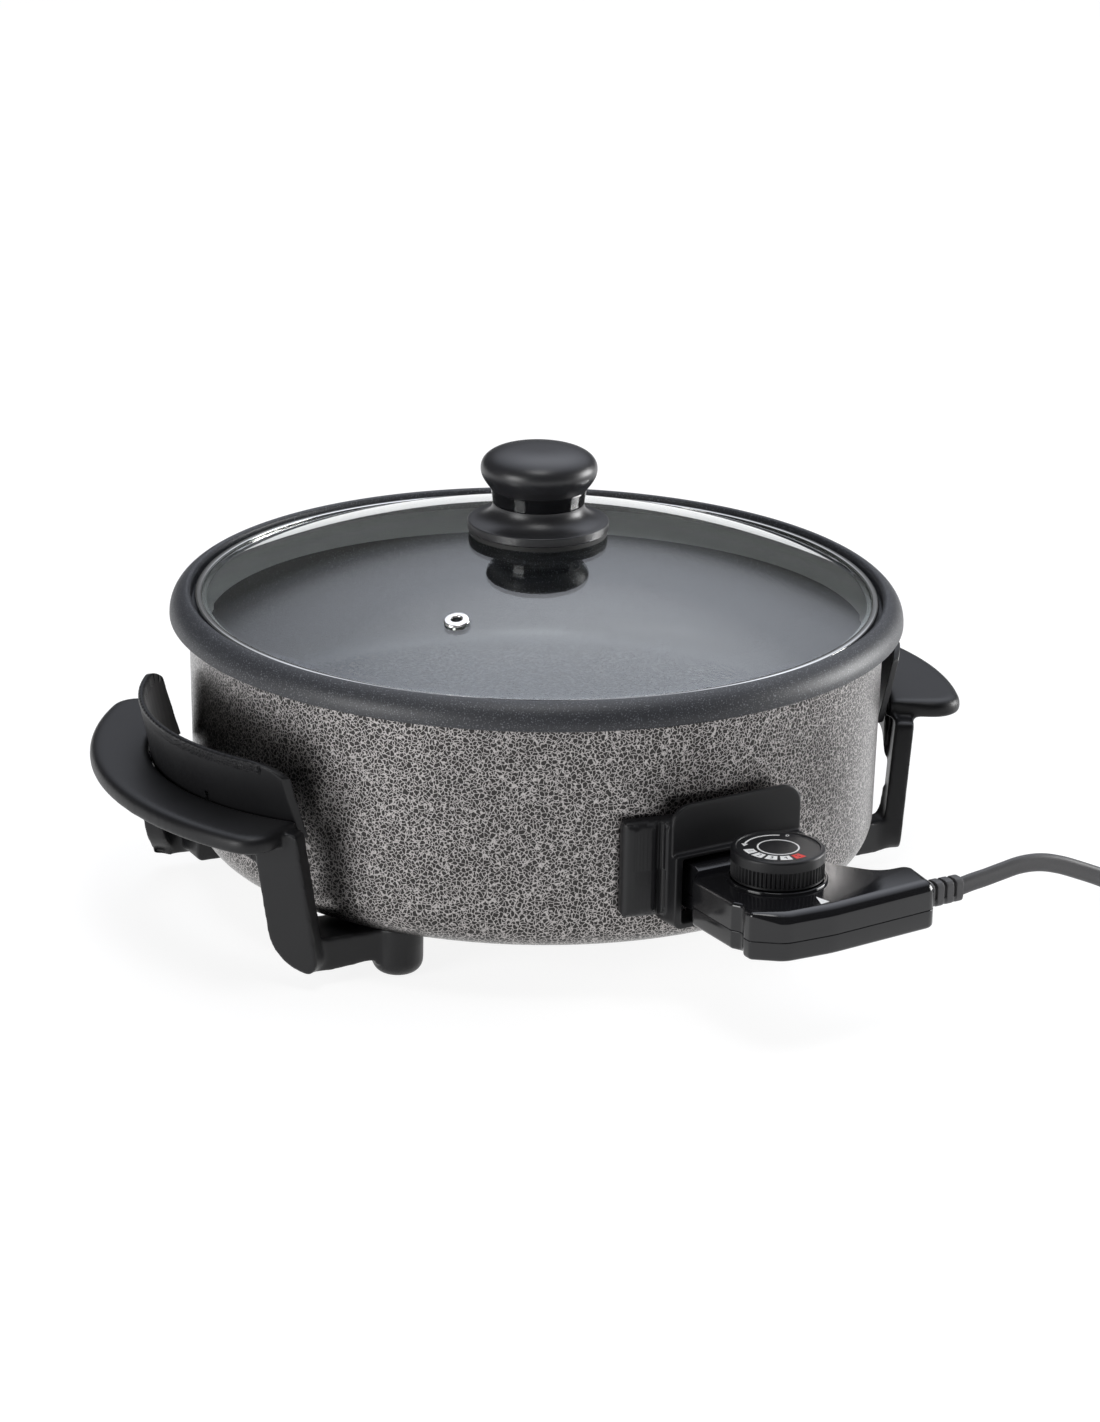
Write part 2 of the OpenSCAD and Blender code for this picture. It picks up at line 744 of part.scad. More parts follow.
module left_heat_shield() {
    low_r = shield_r(shield_low);
    top_r = shield_r(shield_top);
    color("black")
        on_left() {
            shield_pegs(0, 0);
            intersection() {
                translate([-arc_x, 0, 0])
                    rotate(180 - shield_span)
                        rotate_extrude(angle = 2 * shield_span, $fn = 96)
                            polygon([[low_r - shield_t, shield_low], [low_r, shield_low],
                                     [top_r, shield_top - 1], [top_r - 1, shield_top],
                                     [top_r - shield_t + 1, shield_top], [top_r - shield_t, shield_top - 1]]);
                rotate([90, 0, -90])
                    linear_extrude(arc_x + grip_out)
                        polygon(rounded([[-shield_half, shield_low, 2], [shield_half, shield_low, 2],
                                         [shield_half - 2, shield_top, 18],
                                         [-shield_half + 2, shield_top, 18]], 8));
            }
        }
}

module right_heat_shield() {
    mirror([1, 0, 0])
        left_heat_shield();
}

module handle_screws() {
    color("silver")
        at_posts() {
            translate([0, 0, post_head_z - 2.6])
                cylinder(r = post_head_r, h = 2.6);
            translate([0, 0, post_head_z - 0.5])
                cylinder(r = post_screw_r, h = foot_h + shell_t + nut_t + 2 - post_head_z);
        }
}

module nut_plates() {
    color("silver")
        at_posts()
            difference() {
                translate([0, 0, foot_h + shell_t])
                    cylinder(r = nut_r, h = nut_t);
                translate([0, 0, foot_h])
                    cylinder(r = post_screw_r + 0.05, h = shell_t + nut_t + 5);
            }
}

module lid_glass() {
    color("lightcyan", 0.4)
        difference() {
            rotate_extrude($fn = 96)
                polygon(concat(
                    [[knob_bore_r + 1, dome_z(knob_bore_r + 1)]],
                    [for (i = [1:16]) let (r = dome_r * i / 16) [r, dome_z(r)]],
                    [[glass_edge_r, glass_top], [glass_edge_r, glass_low]],
                    [for (i = [16:-1:1]) let (r = dome_r * i / 16) [r, dome_z(r) - glass_t]],
                    [[knob_bore_r + 1, dome_z(knob_bore_r + 1) - glass_t]]));
            vent_place()
                translate([0, 0, -20])
                    cylinder(r = eyelet_tube_r + 0.15, h = 40);
        }
}

// Brings a piece drawn round +Z on to the dome's skin at the vent
module vent_place() {
    rotate(vent_dir)
        translate([vent_r, 0, dome_z(vent_r)])
            rotate([0, vent_tilt, 0])
                children();
}

module lid_band() {
    skirt_in = skirt_out - band_t;
    color("silver")
        rotate_extrude($fn = 96)
            polygon([[skirt_in, band_z - skirt_h], [skirt_out, band_z - skirt_h], [skirt_out, band_z],
                     [lid_r, band_z], [lid_r, band_top - 1], [lid_r - 0.3, band_top - 0.3],
                     [lid_r - 1, band_top], [lid_r - band_lip + 0.4, band_top],
                     [lid_r - band_lip, band_top - 0.4], [lid_r - band_lip, glass_top + 0.1],
                     [lid_r - band_t, glass_top + 0.1], [lid_r - band_t, band_z + band_t],
                     [skirt_in, band_z + band_t]]);
}

module vent_eyelet() {
    color("silver")
        vent_place()
            difference() {
                union() {
                    rotate_extrude()
                        polygon(concat([[0, 0.3], [eyelet_r, 0.3]],
                                       arc([eyelet_r - 1, 0.4], 1, 0, 90, 4),
                                       [[0, 1.4]]));
                    translate([0, 0, -glass_t - 1.4])
                        cylinder(r = eyelet_tube_r, h = glass_t + 2);
                    translate([0, 0, -glass_t - 1.6])
                        cylinder(r = eyelet_r - 1.2, h = 1);
                }
                translate([0, 0, -20])
                    cylinder(r = vent_hole_r, h = 40);
            }
}

module knob_gasket() {
    r = knob_flange_r - 0.8;
    color("dimgray")
        rotate_extrude()
            polygon(concat([for (i = [0:8]) let (x = 12 + (r - 12) * i / 8) [x, dome_z(x) + 0.02]],
                           [[r, knob_z], [12, knob_z]]));
}

module knob_base() {
    band = 4.6;
    color("black")
        rotate_extrude()
            polygon(concat([[knob_bore_r + 0.4, knob_z], [knob_flange_r - 0.4, knob_z],
                            [knob_flange_r, knob_z + 0.4], [knob_flange_r, knob_z + band - 0.6],
                            [knob_flange_r - 0.6, knob_z + band]],
                           [for (i = [1:8])
                               let (a = 90 * i / 8, w = knob_flange_r - 1.5 - knob_neck_r)
                               [knob_neck_r + w * (1 - sin(a)),
                                knob_z + band + (knob_base_h - band) * (1 - cos(a))]],
                           [[knob_bore_r + 0.4, collar_z]]));
}

module knob_collar() {
    color("black")
        rotate_extrude()
            polygon([[knob_bore_r + 0.4, collar_z], [knob_neck_r - 0.4, collar_z],
                     [knob_neck_r, collar_z + 0.5], [knob_neck_r + 1, cap_z - 0.5],
                     [knob_neck_r + 0.8, cap_z], [knob_bore_r + 0.4, cap_z]]);
}

module knob_cap() {
    widest = 0.48 * knob_cap_h;
    low_r = knob_neck_r + 1.5;
    color("black")
        difference() {
            rotate_extrude()
                polygon(concat([[0, cap_z], [low_r - 0.6, cap_z], [low_r, cap_z + 0.6]],
                               [for (i = [1:6])
                                   [low_r + (knob_r - low_r) * sin(15 * i),
                                    cap_z + 0.6 + (widest - 0.6) * i / 6]],
                               [for (i = [1:12])
                                   let (a = 7.5 * i)
                                   [knob_r * pow(cos(a), 0.62),
                                    cap_z + widest + (knob_cap_h - widest) * pow(sin(a), 0.9)]]));
            translate([0, 0, cap_z - 1])
                cylinder(r = knob_bore_r - 0.05, h = 13);
        }
}

module knob_washer() {
    color("silver")
        translate([0, 0, apex_z - glass_t - washer_t - 0.35])
            difference() {
                cylinder(r = washer_r, h = washer_t);
                translate([0, 0, -1])
                    cylinder(r = knob_bore_r + 0.2, h = washer_t + 2);
            }
}

module knob_screw() {
    head_z = apex_z - glass_t - washer_t - 0.35;
    color("silver") {
        translate([0, 0, head_z - 2.6])
            cylinder(r1 = 3.6, r2 = 4.8, h = 2.6);
        translate([0, 0, head_z - 0.5])
            cylinder(r = knob_bore_r - 0.1, h = cap_z + 11 - head_z);
    }
}

// The control's outline seen from above, counter-clockwise
function control_outline() =
    rounded([[-ctl_half + 8, ctl_rear, 4], [-ctl_half - 0.5, ctl_rear - 10, 5],
             [-ctl_half - 2, ctl_front + 13, 8], [-ctl_half + 11, ctl_front + 2, 13],
             [2, ctl_front, 60], [arm_len, arm_y, 6], [arm_len, arm_y + arm_w, 5],
             [ctl_half + 13, arm_y + arm_w + 1, 14], [ctl_half, ctl_rear - 26, 10],
             [ctl_half, ctl_rear - 10, 5], [ctl_half - 8, ctl_rear, 4]], 5);

// The control's outside between two heights, with its long edges rounded
module control_block(z0, z1) {
    left = -ctl_half - 4;
    intersection() {
        translate([0, 0, z0])
            linear_extrude(z1 - z0)
                difference() {
                    polygon(control_outline());
                    translate([-ctl_half - 5.2, nose_gap_y])
                        circle(r = nose_gap_r);
                }
        translate([0, ctl_rear + 1, 0])
            rotate([90, 0, 0])
                linear_extrude(ctl_depth + 2)
                    polygon(rounded([[left + 2, ctl_low, 2], [arm_len, ctl_low, 2],
                                     [arm_len, ctl_top, 3], [left + 2, ctl_top, 3]]));
        translate([left, 0, 0])
            rotate([90, 0, 90])
                linear_extrude(arm_len - left + 1)
                    polygon(rounded([[ctl_front, ctl_low, 2], [ctl_rear, ctl_low, 2],
                                     [ctl_rear, ctl_top, 3], [ctl_front, ctl_top, 6]]));
    }
}

// The control's hollow, common to both shells, round the screw bosses
module control_hollow(z0, z1) {
    difference() {
        union() {
            translate([-ctl_half + ctl_t + 0.6, ctl_front + 16, z0])
                cube([2 * ctl_half - 2 * ctl_t - 1.2, ctl_depth - 16 - ctl_t - 2, z1 - z0]);
            translate([0, arm_y + ctl_t + 1.5, z0])
                cube([arm_len - ctl_t - 2, arm_w - 2 * ctl_t - 3, z1 - z0]);
        }
        control_screw_places()
            translate([0, 0, z0 - 1])
                cylinder(r = ctl_boss_r, h = z1 - z0 + 2);
    }
}

// Cuts along Y for the sleeves, the probe and the cord's relief
module control_bores() {
    for (x = [-1, 1])
        along_y(x * pin_gap / 2, socket_z, ctl_rear - ctl_t - 4, neck_end_y + 1, sleeve_r + 0.1);
    along_y(0, socket_z, ctl_rear - ctl_t - 4, neck_end_y + 1, probe_r + 0.1);
    translate([arm_len - ctl_t - 3, arm_mid_y - relief_half, cord_z - relief_tall])
        cube([ctl_t + 6, 2 * relief_half, 2 * relief_tall]);
}

module control_screw_places() {
    for (p = ctl_screws_at)
        translate([p[0], p[1], 0])
            children();
}

module control_lower_shell() {
    color("black")
        difference() {
            union() {
                difference() {
                    control_block(ctl_low, split_z);
                    control_hollow(floor_low, split_z + 1);
                }
                translate([-neck_half, ctl_rear - 5, neck_low])
                    cube([2 * neck_half, neck_end_y - ctl_rear + 5, split_z - neck_low]);
            }
            control_bores();
            control_screw_places() {
                translate([0, 0, ctl_low - 1])
                    cylinder(r = ctl_screw_r + 0.1, h = 40);
                translate([0, 0, ctl_low - 1])
                    cylinder(r = ctl_screw_head_r + 0.2, h = 4);
            }
        }
}

module control_upper_shell() {
    color("black")
        difference() {
            union() {
                control_block(split_z, ctl_top);
                translate([0, dial_y, ctl_top - 1])
                    cylinder(r = dial_r + 1.6, h = bezel_h + 1);
                translate([-neck_half, 0, 0])
                    rotate([90, 0, 90])
                        linear_extrude(2 * neck_half)
                            polygon([[ctl_rear - 5, split_z], [neck_end_y, split_z], [neck_end_y, neck_top],
                                     [ctl_rear, neck_top], [ctl_rear - 3.4, ctl_top],
                                     [ctl_rear - 5, ctl_top]]);
            }
            control_hollow(split_z - 1, roof_z);
            control_bores();
            control_screw_places()
                translate([0, 0, split_z - 1])
                    cylinder(r = ctl_screw_r + 0.08, h = ctl_screw_deep + 1);
            translate([0, dial_y, split_z])
                cylinder(r = spindle_r + slide_fit, h = ctl_top_h + 4);
        }
}

module control_screws() {
    color("silver")
        control_screw_places() {
            translate([0, 0, ctl_low + 1])
                cylinder(r = ctl_screw_head_r, h = 2);
            translate([0, 0, ctl_low + 2.5])
                cylinder(r = ctl_screw_r, h = split_z + ctl_screw_deep - 1 - ctl_low - 2.5);
        }
}

module contact_carrier() {
    color("saddlebrown")
        difference() {
            translate([-neck_half + 2, carrier_y - carrier_len, floor_low + 0.2])
                cube([2 * neck_half - 4, carrier_len, roof_z - floor_low - 0.4]);
            for (x = [-1, 1])
                along_y(x * pin_gap / 2, socket_z, carrier_y - carrier_len - 1, carrier_y + 1,
                        sleeve_r + 0.05);
            along_y(0, socket_z, carrier_y - carrier_len - 1, carrier_y + 1, probe_r + 0.05);
        }
}

module contact_sleeves() {
    color("goldenrod")
        for (x = [-1, 1])
            difference() {
                along_y(x * pin_gap / 2, socket_z, sleeve_end_y, carrier_y - carrier_len, sleeve_r);
                along_y(x * pin_gap / 2, socket_z, sleeve_end_y + 1, pin_tip_y - 4, pin_r + slide_fit);
            }
}

module probe() {
    tip_y = -socket_r + probe_len - 6;
    color("silver") {
        along_y(0, socket_z, tip_y - probe_r, carrier_y - carrier_len, probe_r);
        translate([0, tip_y - probe_r, socket_z])
            sphere(r = probe_r);
    }
}

module switch_frame() {
    color("ivory") {
        translate([-13, dial_y - 16, floor_low + 0.2])
            cube([26, 26, 4]);
        for (y = [-15, 5])
            translate([-9, dial_y + y, floor_low + 4])
                cube([6, 4, 5.5]);
    }
}

module switch_blades() {
    blade_z = floor_low + 9.6;
    color("goldenrod")
        difference() {
            union() {
                translate([-9, dial_y - 15, blade_z])
                    cube([6, 24, 0.6]);
                translate([-6, dial_y - 3, blade_z])
                    cube([8, 6, 0.6]);
                translate([0, dial_y, blade_z])
                    cylinder(r = 2.5, h = 1.2);
            }
        }
}

module dial_knob() {
    band_low = 8.8;
    rib_low = 1.4;
    rib_r = 0.8;
    rib_back = 0.2;
    color("black")
        difference() {
            union() {
                translate([0, dial_y, dial_z])
                    cylinder(r = dial_r - rib_r - rib_back, h = band_low + 0.5);
                translate([0, dial_y, dial_z])
                    cylinder(r = dial_r - rib_back, h = rib_low - 0.3);
                for (i = [0:dial_ribs - 1])
                    rotate_about_dial(360 * i / dial_ribs)
                        translate([dial_r - rib_r - rib_back, 0, dial_z + rib_low])
                            cylinder(r = rib_r, h = band_low - rib_low + 0.5, $fn = 16);
                translate([0, dial_y, dial_z + band_low])
                    rotate_extrude()
                        polygon(concat([[0, 0], [dial_r, 0], [dial_r, dial_h - band_low - 1.6]],
                                       arc([dial_r - 1.6, dial_h - band_low - 1.6], 1.6, 0, 90, 5),
                                       [[dial_r - 2.4, dial_h - band_low],
                                        [dial_r - 2.7, dial_h - band_low - 0.5],
                                        [0, dial_h - band_low - 0.5]]));
            }
            translate([0, dial_y, dial_z - 1])
                cylinder(r = spindle_r + 0.02, h = band_low + 0.2);
        }
}

module rotate_about_dial(a) {
    translate([0, dial_y, 0])
        rotate(a)
            children();
}

module dial_spindle() {
    low = floor_low + 11.2;
    color("silver")
        translate([0, dial_y, 0]) {
            translate([0, 0, low])
                cylinder(r = spindle_r, h = dial_z + 7.5 - low);
        }
}

module strain_relief() {
    ribs = 4;
    slot = 1.7;
    rib = (relief_len - (ribs - 1) * slot) / ribs;
    back = arm_len - ctl_t - 2.7;
    color("black") {
        for (i = [0:ribs - 1])
            relief_slice(arm_len + i * (rib + slot), rib, relief_box(1 - 0.02 * i));
        relief_slice(back, relief_x - back, relief_box(0.62));
        relief_slice(back, ctl_t + 2.7 + 1, relief_box(1));
        relief_slice(arm_len, relief_len - 1,
                     [[-relief_half * 0.85, -relief_tall * 0.85, 1],
                      [relief_half * 0.85, -relief_tall * 0.85, 1],
                      [relief_half * 0.85, -relief_tall / 3, 0.5],
                      [-relief_half * 0.85, -relief_tall / 3, 0.5]]);
    }
}

// A length of the relief along the cord, with the given section
module relief_slice(x, length, section) {
    translate([x, arm_mid_y, cord_z])
        rotate([90, 0, 90])
            linear_extrude(length)
                polygon(rounded(section, 3));
}

// The relief's flat section, k times its full size
function relief_box(k) =
    let (w = relief_half * k, h = relief_tall * k)
    [[-w, -h, w * 0.6], [w, -h, w * 0.6], [w, h, w * 0.6], [-w, h, w * 0.6]];

// A flat cord's section at point p running along t, with its wide side upright
function cord_ring(p, t, sides) =
    let (side = unit(cross(t, [0, 0, 1])), up = unit(cross(side, t)))
    [for (i = [0:sides - 1])
        p + side * cord_t / 2 * cos(360 * i / sides) + up * cord_w / 2 * sin(360 * i / sides)];

// The direction of a route at its point i
function heading(p, i) = unit(p[min(i + 1, len(p) - 1)] - p[max(i - 1, 0)]);

module cord_tube(p, first, last, sides) {
    n = len(p);
    loft([for (i = [0:n - 1])
            cord_ring(p[i], i == 0 ? first : i == n - 1 ? last : heading(p, i), sides)]);
}

// A smooth curve through hand-chosen points
function smooth(p, k = 4) =
    [for (i = [0:len(p) - 2], j = [0:k - 1])
        let (a = p[max(i - 1, 0)], b = p[i], c = p[i + 1], d = p[min(i + 2, len(p) - 1)], t = j / k)
        0.5 * (2 * b + (c - a) * t + (2 * a - 5 * b + 4 * c - d) * t * t
               + (3 * b - a - 3 * c + d) * t * t * t)];

lead_start = [relief_x, arm_mid_y, cord_z];
coil_start = [coil_x, coil_y - coil_out, coil_low_z];
lead_route = let (p = concat([lead_start, lead_start + [8, 0, 1.2]],
                             [for (q = lead_points) lead_start + q],
                             [coil_start - [22, 0, 0], coil_start - [8, 0, 0], coil_start]))
             concat(smooth(p, 4), [coil_start]);

// The coil winds in on the table, climbs over half a turn and winds out on top
coil_angle = 360 * (2 * coil_turns + 0.5);
function coil_point(s) =
    let (a = s * coil_angle,
         climb = min(1, max(0, (a - 360 * coil_turns) / 180)),
         r = coil_out - coil_pitch * min(a, coil_angle - a) / 360,
         z = coil_low_z + layer_h * (1 - cos(180 * climb)) / 2)
    [coil_x + r * sin(a), coil_y - r * cos(a), z];
coil_count = ceil(coil_angle / 360 * loop_steps);
coil_route = [for (i = [0:coil_count]) coil_point(i / coil_count)];
coil_end = coil_route[coil_count];
coil_leave = [cos(coil_angle), sin(coil_angle), 0];
tail_route = smooth([coil_end, coil_end + coil_leave * 10, coil_end + coil_leave * 24 - [0, 0, 2],
                     coil_end + coil_leave * 40 - [0, 0, coil_end[2] - plug_h / 2 - 1.5],
                     coil_end + coil_leave * 56 - [0, 0, coil_end[2] - plug_h / 2],
                     coil_end + coil_leave * 64 - [0, 0, coil_end[2] - plug_h / 2]], 3);
plug_start = coil_end + coil_leave * 64 - [0, 0, coil_end[2] - plug_h / 2];

module cord_lead() {
    color("dimgray")
        cord_tube(lead_route, [1, 0, 0], [1, 0, 0], 8);
}

module cord_coil() {
    color("dimgray")
        cord_tube(coil_route, [1, 0, 0], coil_leave, 6);
}

module cord_tail() {
    color("dimgray")
        cord_tube(concat(tail_route, [plug_start]), coil_leave, coil_leave, 8);
}

module cord_tie() {
    inner = coil_pitch * coil_turns / 2 + cord_t / 2 + 0.8;
    high = coil_base + layer_h + cord_w + 0.6;
    color("black")
        translate([coil_x, coil_y, 0])
            rotate(tie_angle)
                translate([coil_r - 0.2 * coil_pitch, tie_w / 2, 0])
                    rotate([90, 0, 0])
                        linear_extrude(tie_w)
                            difference() {
                                polygon(rounded([[-inner - tie_t, 0.1, 2], [inner + tie_t, 0.1, 2],
                                                 [inner + tie_t, high + tie_t, 2],
                                                 [-inner - tie_t, high + tie_t, 2]], 4));
                                polygon(rounded([[-inner, 0.1 + tie_t, 1.2], [inner, 0.1 + tie_t, 1.2],
                                                 [inner, high, 1.2], [-inner, high, 1.2]], 4));
                            }
}

module plug_place() {
    translate(plug_start)
        rotate(coil_angle)
            children();
}

module plug_body() {
    half = plug_w / 2;
    neck = cord_t / 2 + 2.4;
    outline = rounded([[0, -neck, 1.5], [10, -neck - 0.6, 6], [16, -half, 5], [plug_len, -half, 3],
                       [plug_len, half, 3], [16, half, 5], [10, neck + 0.6, 6], [0, neck, 1.5]], 4);
    color("black")
        plug_place()
            rounded_block(outline, -plug_h / 2, plug_h / 2, 3, 3);
}

module plug_blades() {
    color("silver")
        plug_place()
            for (y = [-1, 1])
                translate([plug_len, y * blade_gap / 2, 0])
                    rotate([90, 0, 0])
                        translate([0, 0, -0.75])
                            linear_extrude(1.5)
                                difference() {
                                    polygon([[0, -3.2], [15, -3.2], [17, -2], [17, 2], [15, 3.2], [0, 3.2]]);
                                    translate([12, 0])
                                        circle(r = 1.6, $fn = 32);
                                }
}

// Length of cord and the coil's least gap to itself, skipping each point's near neighbours
function route_length(p) =
    [for (i = [1:len(p) - 1]) norm(p[i] - p[i - 1])] * [for (i = [1:len(p) - 1]) 1];
function flat_gap(p, q) =
    let (d = q - p, k = norm([norm([d[0], d[1]]) / cord_t, d[2] / cord_w]))
    norm(d) * (1 - 1 / k);
coil_least_gap = min([for (i = [0:coil_count], j = [i + 8:1:coil_count])
                         flat_gap(coil_route[i], coil_route[j])]);
echo(cord_length = route_length(lead_route) + route_length(coil_route) + route_length(tail_route));
echo(coil_least_gap = coil_least_gap);

inner_pot();
outer_shell();
shell_screws();
heating_element();
terminal_pins();
terminal_insulators();
socket_well();
socket_guard();
guard_screws();
left_handle();
right_handle();
left_heat_shield();
right_heat_shield();
handle_screws();
nut_plates();
lid_glass();
lid_band();
vent_eyelet();
knob_gasket();
knob_base();
knob_collar();
knob_cap();
knob_washer();
knob_screw();
control_lower_shell();
control_upper_shell();
control_screws();
contact_carrier();
contact_sleeves();
probe();
switch_frame();
switch_blades();
dial_knob();
dial_spindle();
strain_relief();
cord_lead();
cord_coil();
cord_tail();
cord_tie();
plug_body();
plug_blades();
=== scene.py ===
# Electric skillet in plain studio light: painted shell, non-stick pot, foot handles,
# glass lid with a knob, plug-in heat control with its dial, and the flat cord to the plug.
import math

import bpy
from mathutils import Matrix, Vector


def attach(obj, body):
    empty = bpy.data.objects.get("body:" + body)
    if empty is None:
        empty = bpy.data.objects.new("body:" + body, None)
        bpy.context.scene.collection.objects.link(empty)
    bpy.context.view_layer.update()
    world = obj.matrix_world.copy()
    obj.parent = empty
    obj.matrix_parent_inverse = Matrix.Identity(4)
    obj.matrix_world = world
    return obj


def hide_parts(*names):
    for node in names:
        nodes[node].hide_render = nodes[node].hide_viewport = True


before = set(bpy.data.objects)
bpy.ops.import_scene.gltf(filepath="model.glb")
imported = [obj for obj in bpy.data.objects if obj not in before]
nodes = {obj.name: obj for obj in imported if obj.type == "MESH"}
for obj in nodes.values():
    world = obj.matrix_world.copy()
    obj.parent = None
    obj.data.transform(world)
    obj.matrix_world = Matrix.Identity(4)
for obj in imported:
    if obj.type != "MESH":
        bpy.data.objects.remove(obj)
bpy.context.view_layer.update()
mm = 0.001

# The studio: a wide white floor under a soft sky that is brighter overhead than at the horizon,
# a soft box at each side and one above, and the camera where the photograph was taken from.
scene = bpy.context.scene
scene.view_settings.view_transform = "Standard"

view = bpy.data.objects.new("studio_camera", bpy.data.cameras.new("studio_camera"))
scene.collection.objects.link(view)
view.location = (-1.27851, -2.00454, 0.91102)
view.rotation_euler = [math.radians(a) for a in (70.9383, -0.9796, -32.3738)]
view.data.sensor_fit = "VERTICAL"
view.data.sensor_height = 36
view.data.lens = 126.582
view.data.clip_end = 50
scene.camera = view


def soft_box(name, place, aim, width, height, power):
    lamp = bpy.data.objects.new(name, bpy.data.lights.new(name, "AREA"))
    scene.collection.objects.link(lamp)
    lamp.data.shape = "RECTANGLE"
    lamp.data.size = width
    lamp.data.size_y = height
    lamp.data.energy = power
    lamp.location = place
    lamp.rotation_euler = (Vector(aim) - Vector(place)).to_track_quat("-Z", "Y").to_euler()


soft_box("left_box", (-2.0, -0.3, 0.5), (0, 0, 0.1), 1.0, 0.9, 22)
soft_box("right_box", (1.9, -0.55, 0.42), (0, 0, 0.1), 1.0, 0.8, 36)
soft_box("top_box", (-0.25, -0.4, 1.55), (0, 0, 0.1), 0.55, 0.55, 5)


def pick(*pieces):
    """Selects the pieces and nothing else, with the first as the active one."""
    bpy.ops.object.select_all(action="DESELECT")
    for piece in reversed(pieces):
        piece.select_set(True)
        bpy.context.view_layer.objects.active = piece


pick()
bpy.ops.mesh.primitive_plane_add(size=16, location=(0, 0, 0))
floor = bpy.context.object
floor.name = "studio_floor"


class Value:
    """A number on its way through a material's nodes, which takes part in sums."""

    def __init__(self, finish, socket):
        self.finish = finish
        self.socket = socket

    def sum(self, operation, other, swapped=False):
        pair = (other, self) if swapped else (self, other)
        return self.finish.node("Math", {"operation": operation}, {0: pair[0], 1: pair[1]})

    def __add__(self, other):
        return self.sum("ADD", other)

    def __radd__(self, other):
        return self.sum("ADD", other, True)

    def __sub__(self, other):
        return self.sum("SUBTRACT", other)

    def __rsub__(self, other):
        return self.sum("SUBTRACT", other, True)

    def __mul__(self, other):
        return self.sum("MULTIPLY", other)


class Finish:
    """One material or the sky, and the method that adds a node to it."""

    def __init__(self, name, owners=bpy.data.materials, shader="Principled BSDF"):
        self.material = owners.new(name)
        self.material.use_nodes = True
        self.tree = self.material.node_tree
        self.shader = self.tree.nodes[shader]

    def fill(self, node, inputs):
        for key, value in inputs.items():
            if isinstance(value, Value):
                self.tree.links.new(value.socket, node.inputs[key])
            else:
                node.inputs[key].default_value = value

    def node(self, kind, settings={}, inputs={}, out=0):
        node = self.tree.nodes.new("ShaderNode" + kind)
        for key, value in settings.items():
            if key == "stops":
                for i, (place, level) in enumerate(value):
                    stop = node.color_ramp.elements[i] if i < 2 else node.color_ramp.elements.new(place)
                    stop.position = place
                    stop.color = (level, level, level, 1)
            else:
                setattr(node, key, value)
        self.fill(node, inputs)
        return Value(self, node.outputs[out])

    def place(self):
        return self.node("TexCoord", out=3)

    def noise(self, scale, detail=2.0):
        return self.node("TexNoise", {}, {"Vector": self.place(), "Scale": scale, "Detail": detail})

    def ramp(self, value, *stops):
        return self.node("ValToRGB", {"stops": stops}, {"Fac": value})

    def blend(self, share, low, high):
        return self.node("Mix", {"data_type": "RGBA"}, {0: share, 6: low, 7: high}, 2)

    def along(self, way, direction):
        return self.node("VectorMath", {"operation": "DOT_PRODUCT"}, {0: way, 1: direction}, 1)

    def bump(self, height, depth, strength=1.0):
        return self.node("Bump", {}, {"Height": height, "Distance": depth, "Strength": strength})

    def skin(self, **inputs):
        self.fill(self.shader, {key.replace("_", " "): value for key, value in inputs.items()})
        return self.material


def dress(piece, material):
    piece.data.materials.clear()
    piece.data.materials.append(material)


def coat(material, *names):
    for name in names:
        if nodes[name].material_slots:
            nodes[name].material_slots[0].material = material
        else:
            nodes[name].data.materials.append(material)


studio = Finish("studio_sky", bpy.data.worlds, "Background")
scene.world = studio.material
sky_axis = (0.345, 0.316, 0.884)
glow_axis = (0.368, 0.452, 0.813)
way = studio.node("TexCoord")
overhead = studio.ramp(studio.along(way, sky_axis), (0.66, 0.0), (0.98, 1.0), (0.71, 0.07),
                       (0.76, 0.26), (0.90, 0.62))
glow = studio.ramp(studio.along(way, glow_axis), (0.93, 0.0), (1.0, 0.40))
sky = studio.blend(overhead, (0.08, 0.08, 0.08, 1), (1.9, 1.98, 2.2, 1))
studio.skin(Color=studio.blend(glow, sky, (2.4, 2.45, 2.6, 1)), Strength=1.0)

backdrop = Finish("white_floor")
ray = "LightPath"
seen = backdrop.node(ray, out=0) + backdrop.node(ray, out=3) + backdrop.node(ray, out=6)
seen = backdrop.ramp(seen, (0.0, 0.0), (1.0, 1.0))
dress(floor, backdrop.skin(Base_Color=backdrop.blend(seen, (0.9, 0.9, 0.9, 1), (0.22, 0.22, 0.22, 1)),
                           Emission_Color=backdrop.blend(seen, (0, 0, 0, 1), (0.87, 0.87, 0.87, 1)),
                           Emission_Strength=1.0, Roughness=1.0, Specular_IOR_Level=0.0))

# The shell: a deep drawn steel cup with a hammered silver-on-charcoal paint, cut open in front
# for the socket. The pot's flange rests on its top edge and its bottom stands on the foot posts.
rim_top = 155 * mm
shell_top = 144.7 * mm
shell_low = 25 * mm
shell_radius = 173.4 * mm
shell_sheet = 1.6 * mm
shell_round = 19 * mm
shell_slope = math.radians(1.2)
socket_z = 60 * mm
window_half = 31 * mm
window_rise = 13.5 * mm
window_y = (-200 * mm, -140 * mm)


def bow(cx, cz, radius, start, end, steps):
    """Points of an arc in the XZ plane, in degrees."""
    turn = [math.radians(start + (end - start) * i / steps) for i in range(steps + 1)]
    return [(cx + radius * math.cos(a), cz + radius * math.sin(a)) for a in turn]


def cup_line(radius, top, low, slope, corner, steps=14):
    """A cup's outline from its axis up to its edge."""
    cz = low + corner
    cx = radius - (top - cz) * math.tan(slope) - corner / math.cos(slope)
    return [(0, low)] + bow(cx, cz, corner, -90, -math.degrees(slope), steps) + [(radius, top)]


